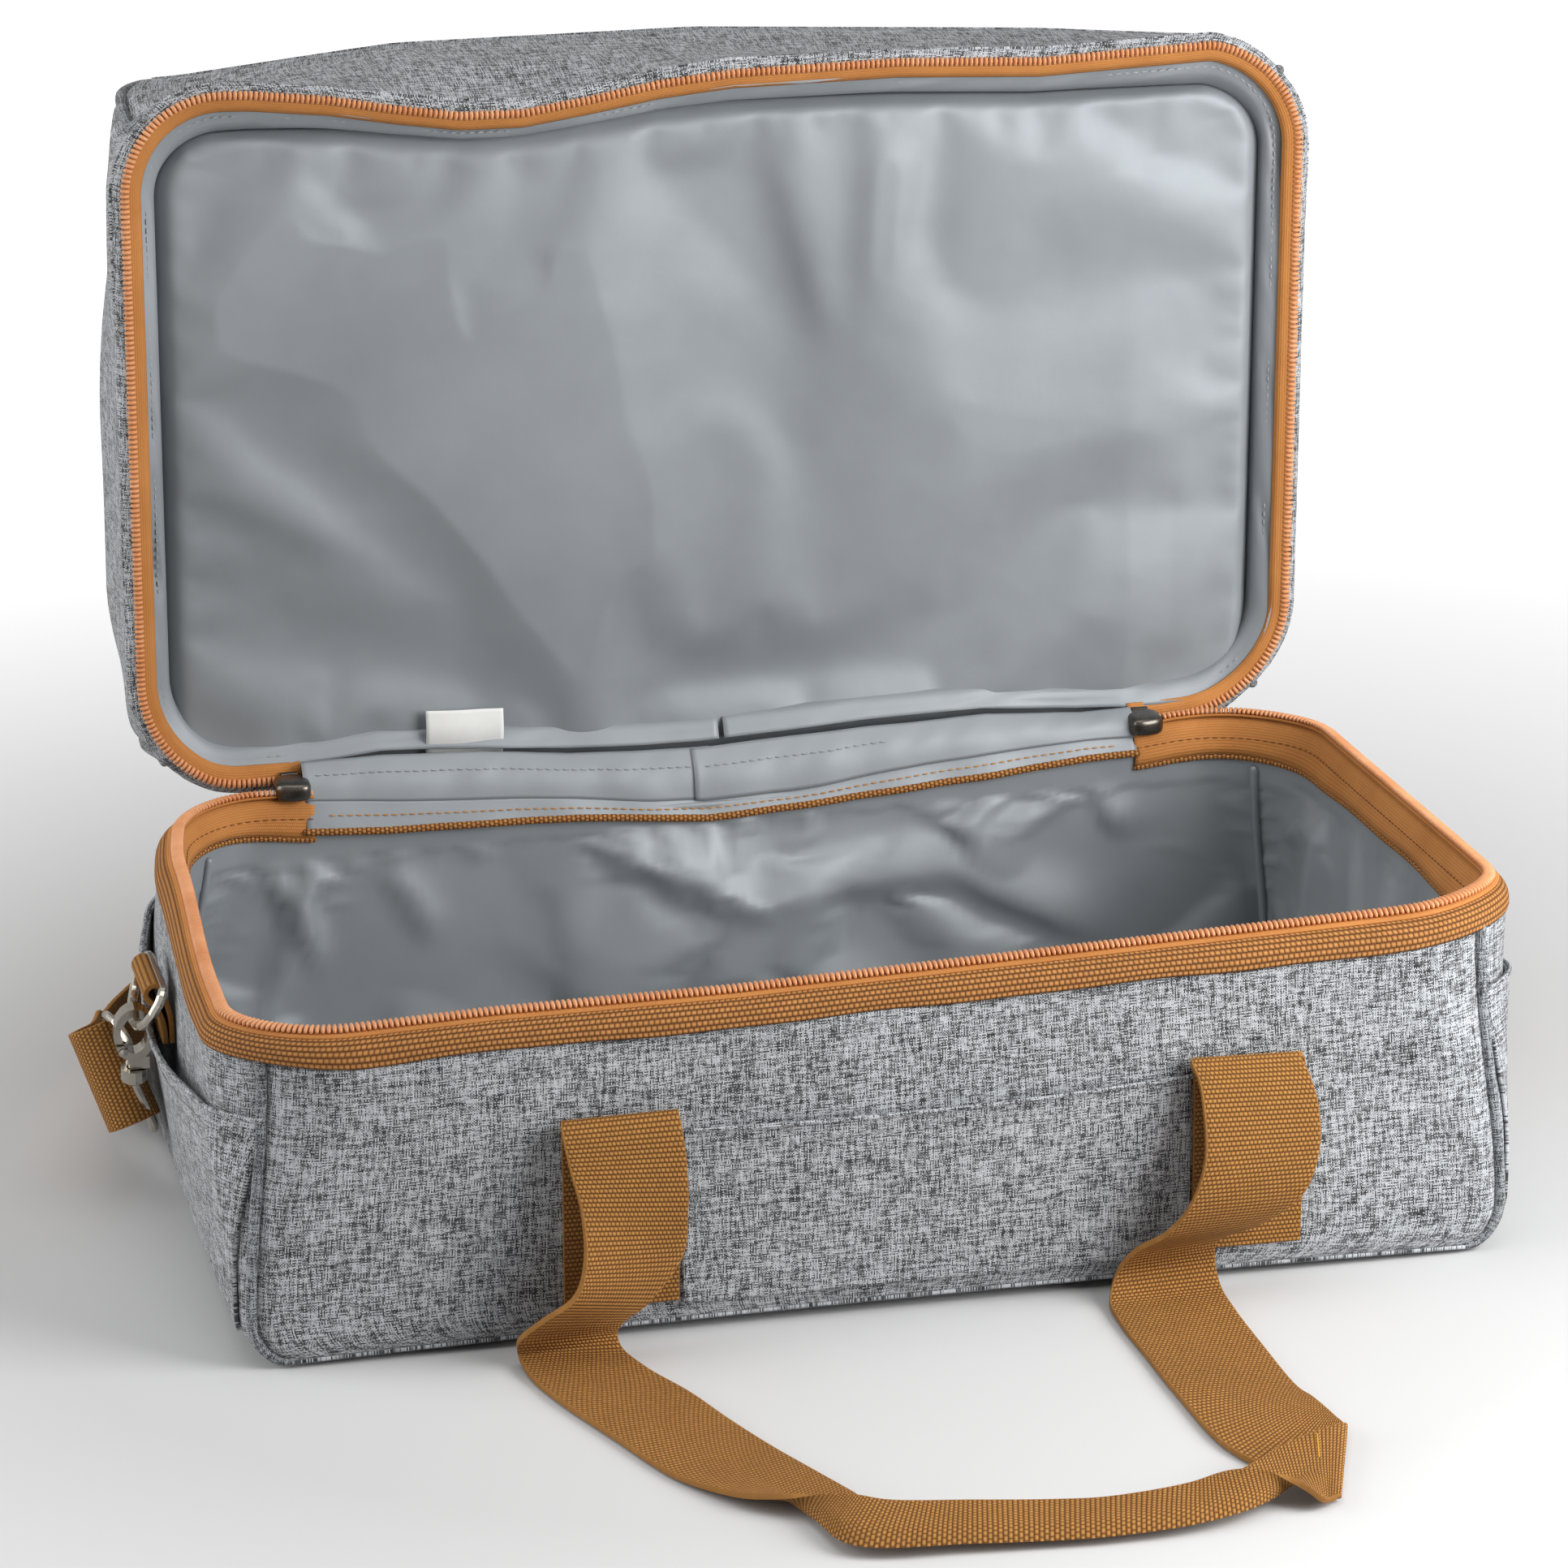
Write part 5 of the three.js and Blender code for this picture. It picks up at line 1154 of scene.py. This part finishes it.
def handleLoop(name, mirror):
    size = handle
    rows = []
    for outer, inner, fold in handleEdges:
        outer, inner = np.array(outer) * vector(1, mirror, 1), np.array(inner) * vector(1, mirror, 1)
        rows.append((*((outer + inner) / 2), *((inner - outer) / 2), fold))
    rows = roundedPath(rows, 460)
    middle, reach, fold = rows[:, :3], rows[:, 3:6], np.clip(rows[:, 6], 0, 1)
    ahead = unit(np.gradient(middle, axis=0))
    up = unit(np.cross(ahead, reach)) * mirror
    half = np.linalg.norm(reach, axis=1, keepdims=True)
    c = np.linspace(-1, 1, 19)
    turn = (fold * math.pi * 0.95)[:, None]
    overSide = np.cos(turn) * -reach + 0.22 * np.sin(turn) * half * up
    thick = size["thickness"]
    table = np.empty((len(rows), len(c), 3))
    for k, share in enumerate(c):
        if share > 0:
            table[:, k] = middle + share * reach
        else:   # the half that is folded over
            proud = (fold * thick * 1.1 * smooth(0, 0.25, -share))[:, None]
            table[:, k] = middle - share * overSide + up * proud
    table[..., 2] = np.maximum(table[..., 2], thick / 2 + 0.05)
    loop = webbingSheet(f"{name}Handle", table, thick, 60)
    for number, spot in enumerate(size["tacks"]):   # short bar tacks where the grip's fold is sewn
        away = np.linalg.norm(table[:, 9:, :2] - np.array(spot) * vector(1, mirror), axis=2)
        row, column = np.unravel_index(np.argmin(away), away.shape)
        column = min(max(column + 9, 3), 15)
        line = table[row, column - 3:column + 4] + up[row] * (thick / 2)
        stitchRow(f"{name}GripTack{number}", evenSteps(line, 20), up[row], tackThread, f"{name}_handle", "webbing",
                  1.1, 0.15)
    return loop


def addHandles():
    size = handle
    for name, mirror in (("front", 1), ("rear", -1)):
        finishPiece(handleLoop(name, mirror), webbingCloth, f"{name}_handle", "webbing", [f"{name}_handle"], angle=40)
        for side, middle in (("left", size["leftX"]), ("right", size["rightX"])):
            z = np.linspace(size["tailFoot"], size["tailHead"], 40)[:, None]
            x = middle + np.linspace(-1, 1, 13)[None, :] * size["width"] / 2
            tail = slump(np.stack(np.broadcast_arrays(x, -mirror * (131.9 + 0 * x), z), axis=-1))
            piece = clothSheet(f"{name}{side.title()}Tail", tail if mirror > 0 else tail[:, ::-1],
                               span=webbing["span"])
            sewSheet(piece, size["thickness"] * 0.001, -1, webbingCloth, "base", "webbing",
                     [f"{name}_{side}_handle_tail"], angle=40)


addHandles()

ringTab = {"width": 33.0, "middle": 9.0, "thickness": 1.9,
           "stations": [(1.6, 74.0), (1.9, 82.0), (3.4, 88.6), (5.0, 93.2), (6.4, 95.6), (8.3, 96.2), (10.3, 95.0),
                        (10.9, 92.6), (9.6, 90.4), (7.6, 88.4), (5.6, 84.6),
                        (4.4, 80.0), (4.0, 74.0)]}
strapEnd = {"width": 37.5, "thickness": 1.7, "middle": (16.0, 36.0, 49.0), "slope": (-0.33, 0.0, -0.944),
            "lean": 0.34, "loop": [(-1.5, 30), (-2.8, 18), (-3.6, 7), (-3.0, -2), (0.6, -6.8), (6.0, -8.0),
                                   (11.6, -5.0), (14, 2), (12.6, 11), (8.4, 20), (3.6, 29)],
            "run": [(17.6, 84, 0.48, 0.5), (15.5, 108, 0.16, 0.85), (9, 136, 0, 1), (-12, 176, 0, 1),
                    (-42, 232, 0, 1), (-60, 292, 0, 1),
                    (-94, 346, 0, 1), (-150, 365, 0, 1), (-196, 368, 0.1, 1)], "height": 20.5, "split": 80.0,
            "follow": ((0, 0.080, 0.03), (0, 0.044, 0.03))}


def addTabsAndStrap():
    size, reach = strapEnd, bag["length"] / 2
    halves = []
    for side, sign in (("left", -1), ("right", 1)):
        stations = [(sign * (reach + out), ringTab["middle"], z, 0, 1, 0) for out, z in ringTab["stations"]]
        rows = roundedPath(stations, 90)
        rows[:, :3] = slump(rows[:, :3])
        tab = webbingRibbon(f"{side}RingTab", rows, ringTab["width"], ringTab["thickness"])
        finishPiece(tab, webbingCloth, "base", "webbing", [f"{side}_ring_tab"], angle=40)
        slope = vector(sign * size["slope"][0], *size["slope"][1:])
        middle = vector(sign * (reach + size["middle"][0]), *size["middle"][1:])
        slope = unit(slope - vector(0, size["lean"], 0))
        outward = unit(vector(sign, 0, 0) - slope * (sign * slope[0]))
        rear = sign * np.cross(outward, slope)
        rear = rear * np.sign(rear[1])
        stations = [(*(middle + outward * out + rear * back), *-slope) for out, back in size["loop"]]
        for out, back, rise, turn in size["run"]:
            z = size["height"] + (size["middle"][2] - size["height"]) * rise
            across = unit(-slope * (1 - turn) + vector(0, 0, 1) * turn)
            stations.append((sign * (reach + out), back, z, *across))
        rows = roundedPath(stations, 420)
        cut = np.nonzero((rows[:, 1] > size["split"]) & (np.arange(len(rows)) > 60))[0][0]
        end = webbingRibbon(f"{side}StrapEnd", rows[:cut + 1], size["width"], size["thickness"])
        finishPiece(end, webbingCloth, None, "webbing", [f"{side}_strap_end"], angle=40)
        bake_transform(end)
        halves.append(rows[cut:])
    whole = np.concatenate([halves[0], halves[1][::-1]])
    strap = webbingRibbon("shoulderStrap", evenSteps(whole, 500), size["width"], size["thickness"])
    finishPiece(strap, webbingCloth, "base", "webbing", ["shoulder_strap"], angle=40)


addTabsAndStrap()
print("webbing sewn on")

# metal parts keep their solids and get their finish

metalFinish = {"d_ring": nickel, "hook": nickel, "hook_gate": nickel, "gate_rivet": nickel, "bail": nickel,
               "zip_pull": darkMetal}


def dressMetal():
    finishes = {f"{side}_{part}": finish for side in ("left", "right") for part, finish in metalFinish.items()}
    for name, finish in {**finishes, "strap_adjuster": nickel}.items():
        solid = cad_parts[name]
        solid.data.materials.clear()
        solid.data.materials.append(finish)


dressMetal()

zipSlider = {"taper": 0.25, "grow": 1.12, "cuts": 1, "levels": 3}


def addSliders():
    size = zipSlider
    for side, sign in (("left", -1), ("right", 1)):
        low, high = (np.array(corner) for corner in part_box(f"{side}_zip_slider"))
        middle, reach = (low + high) / 2, high - low
        bpy.ops.object.select_all(action="DESELECT")
        bpy.ops.mesh.primitive_cube_add(size=1)
        shell = bpy.context.object
        shell.name = shell.data.name = f"{side}ZipSlider"
        editAll(bpy.ops.mesh.subdivide, number_cuts=size["cuts"])
        for corner in shell.data.vertices:   # narrower towards the end that closes the teeth
            corner.co.y *= 1 - size["taper"] * max(0.0, 2 * corner.co.x * sign)
            corner.co = Vector(middle) + Vector(corner.co * size["grow"]) * Vector(reach)
        useModifier(shell, "SUBSURF", levels=size["levels"], render_levels=size["levels"])
        finishPiece(shell, darkMetal, f"{side}_slider", "dark_metal", [f"{side}_zip_slider"])


addSliders()

# floor and light

studio = {"floor": 6.0, "aim": 0.13, "world": 0.15, "mirrored": 0.55, "shade": 0.6, "nearGlow": 0.0, "farGlow": 0.9,
          "fade": (0.3, 1.1),
          "lamps": {"top": (19.0, 2.0, (-0.2, -0.3, 2.2)), "right": (10.5, 0.6, (0.62, -0.54, 0.46)),
                    "left": (20.0, 1.4, (-1.6, 0.15, 0.6))}}


def addFloor():
    bpy.ops.object.select_all(action="DESELECT")
    bpy.ops.mesh.primitive_plane_add(size=studio["floor"] * 2, location=(0, 0, -0.0004))
    floor = bpy.context.object
    floor.name = "studioFloor"
    paint, tree, shader, where = newFinish("floorPaint")
    seen = put(tree, "ShaderNodeLightPath").outputs["Is Camera Ray"]
    away = put(tree, "ShaderNodeVectorMath", {0: where["Object"]}, operation="LENGTH").outputs["Value"]
    glow = put(tree, "ShaderNodeMapRange",
               {"Value": away, "From Min": studio["fade"][0], "From Max": studio["fade"][1],
                                            "To Min": studio["nearGlow"], "To Max": studio["farGlow"]}).outputs[0]
    dress(tree, shader, {"Base Color": (*[studio["shade"]] * 3, 1), "Roughness": 0.9, "Emission Color": (1, 1, 1, 1),
                         "Emission Strength": calc(tree, "MULTIPLY", seen, glow)})
    floor.data.materials.append(paint)


def addWorld():
    world = bpy.data.worlds.new("studioWorld")
    scene.world = world
    world.use_nodes = True
    tree = world.node_tree
    ray = put(tree, "ShaderNodeLightPath").outputs
    mirrored = calc(tree, "MAXIMUM", ray["Is Glossy Ray"], ray["Is Transmission Ray"])
    background = tree.nodes["Background"]
    background.inputs["Color"].default_value = (1, 1, 1, 1)
    strength = put(tree, "ShaderNodeMapRange",
                   {"Value": mirrored, "To Min": studio["world"], "To Max": studio["mirrored"]}).outputs[0]
    strength = calc(tree, "MAXIMUM", strength, ray["Is Camera Ray"])
    tree.links.new(strength, background.inputs["Strength"])


def addLamps():
    for name, (power, size, spot) in studio["lamps"].items():
        bpy.ops.object.light_add(type="AREA", location=spot)
        lamp = bpy.context.object
        lamp.name = f"{name}Lamp"
        lamp.data.energy, lamp.data.size = power, size
        lamp.visible_camera = False
        lamp.rotation_mode = "QUATERNION"
        lamp.rotation_quaternion = (Vector((0, 0, studio["aim"])) - Vector(spot)).to_track_quat("-Z", "Y")


addFloor()
addWorld()
addLamps()
print("studio lit")
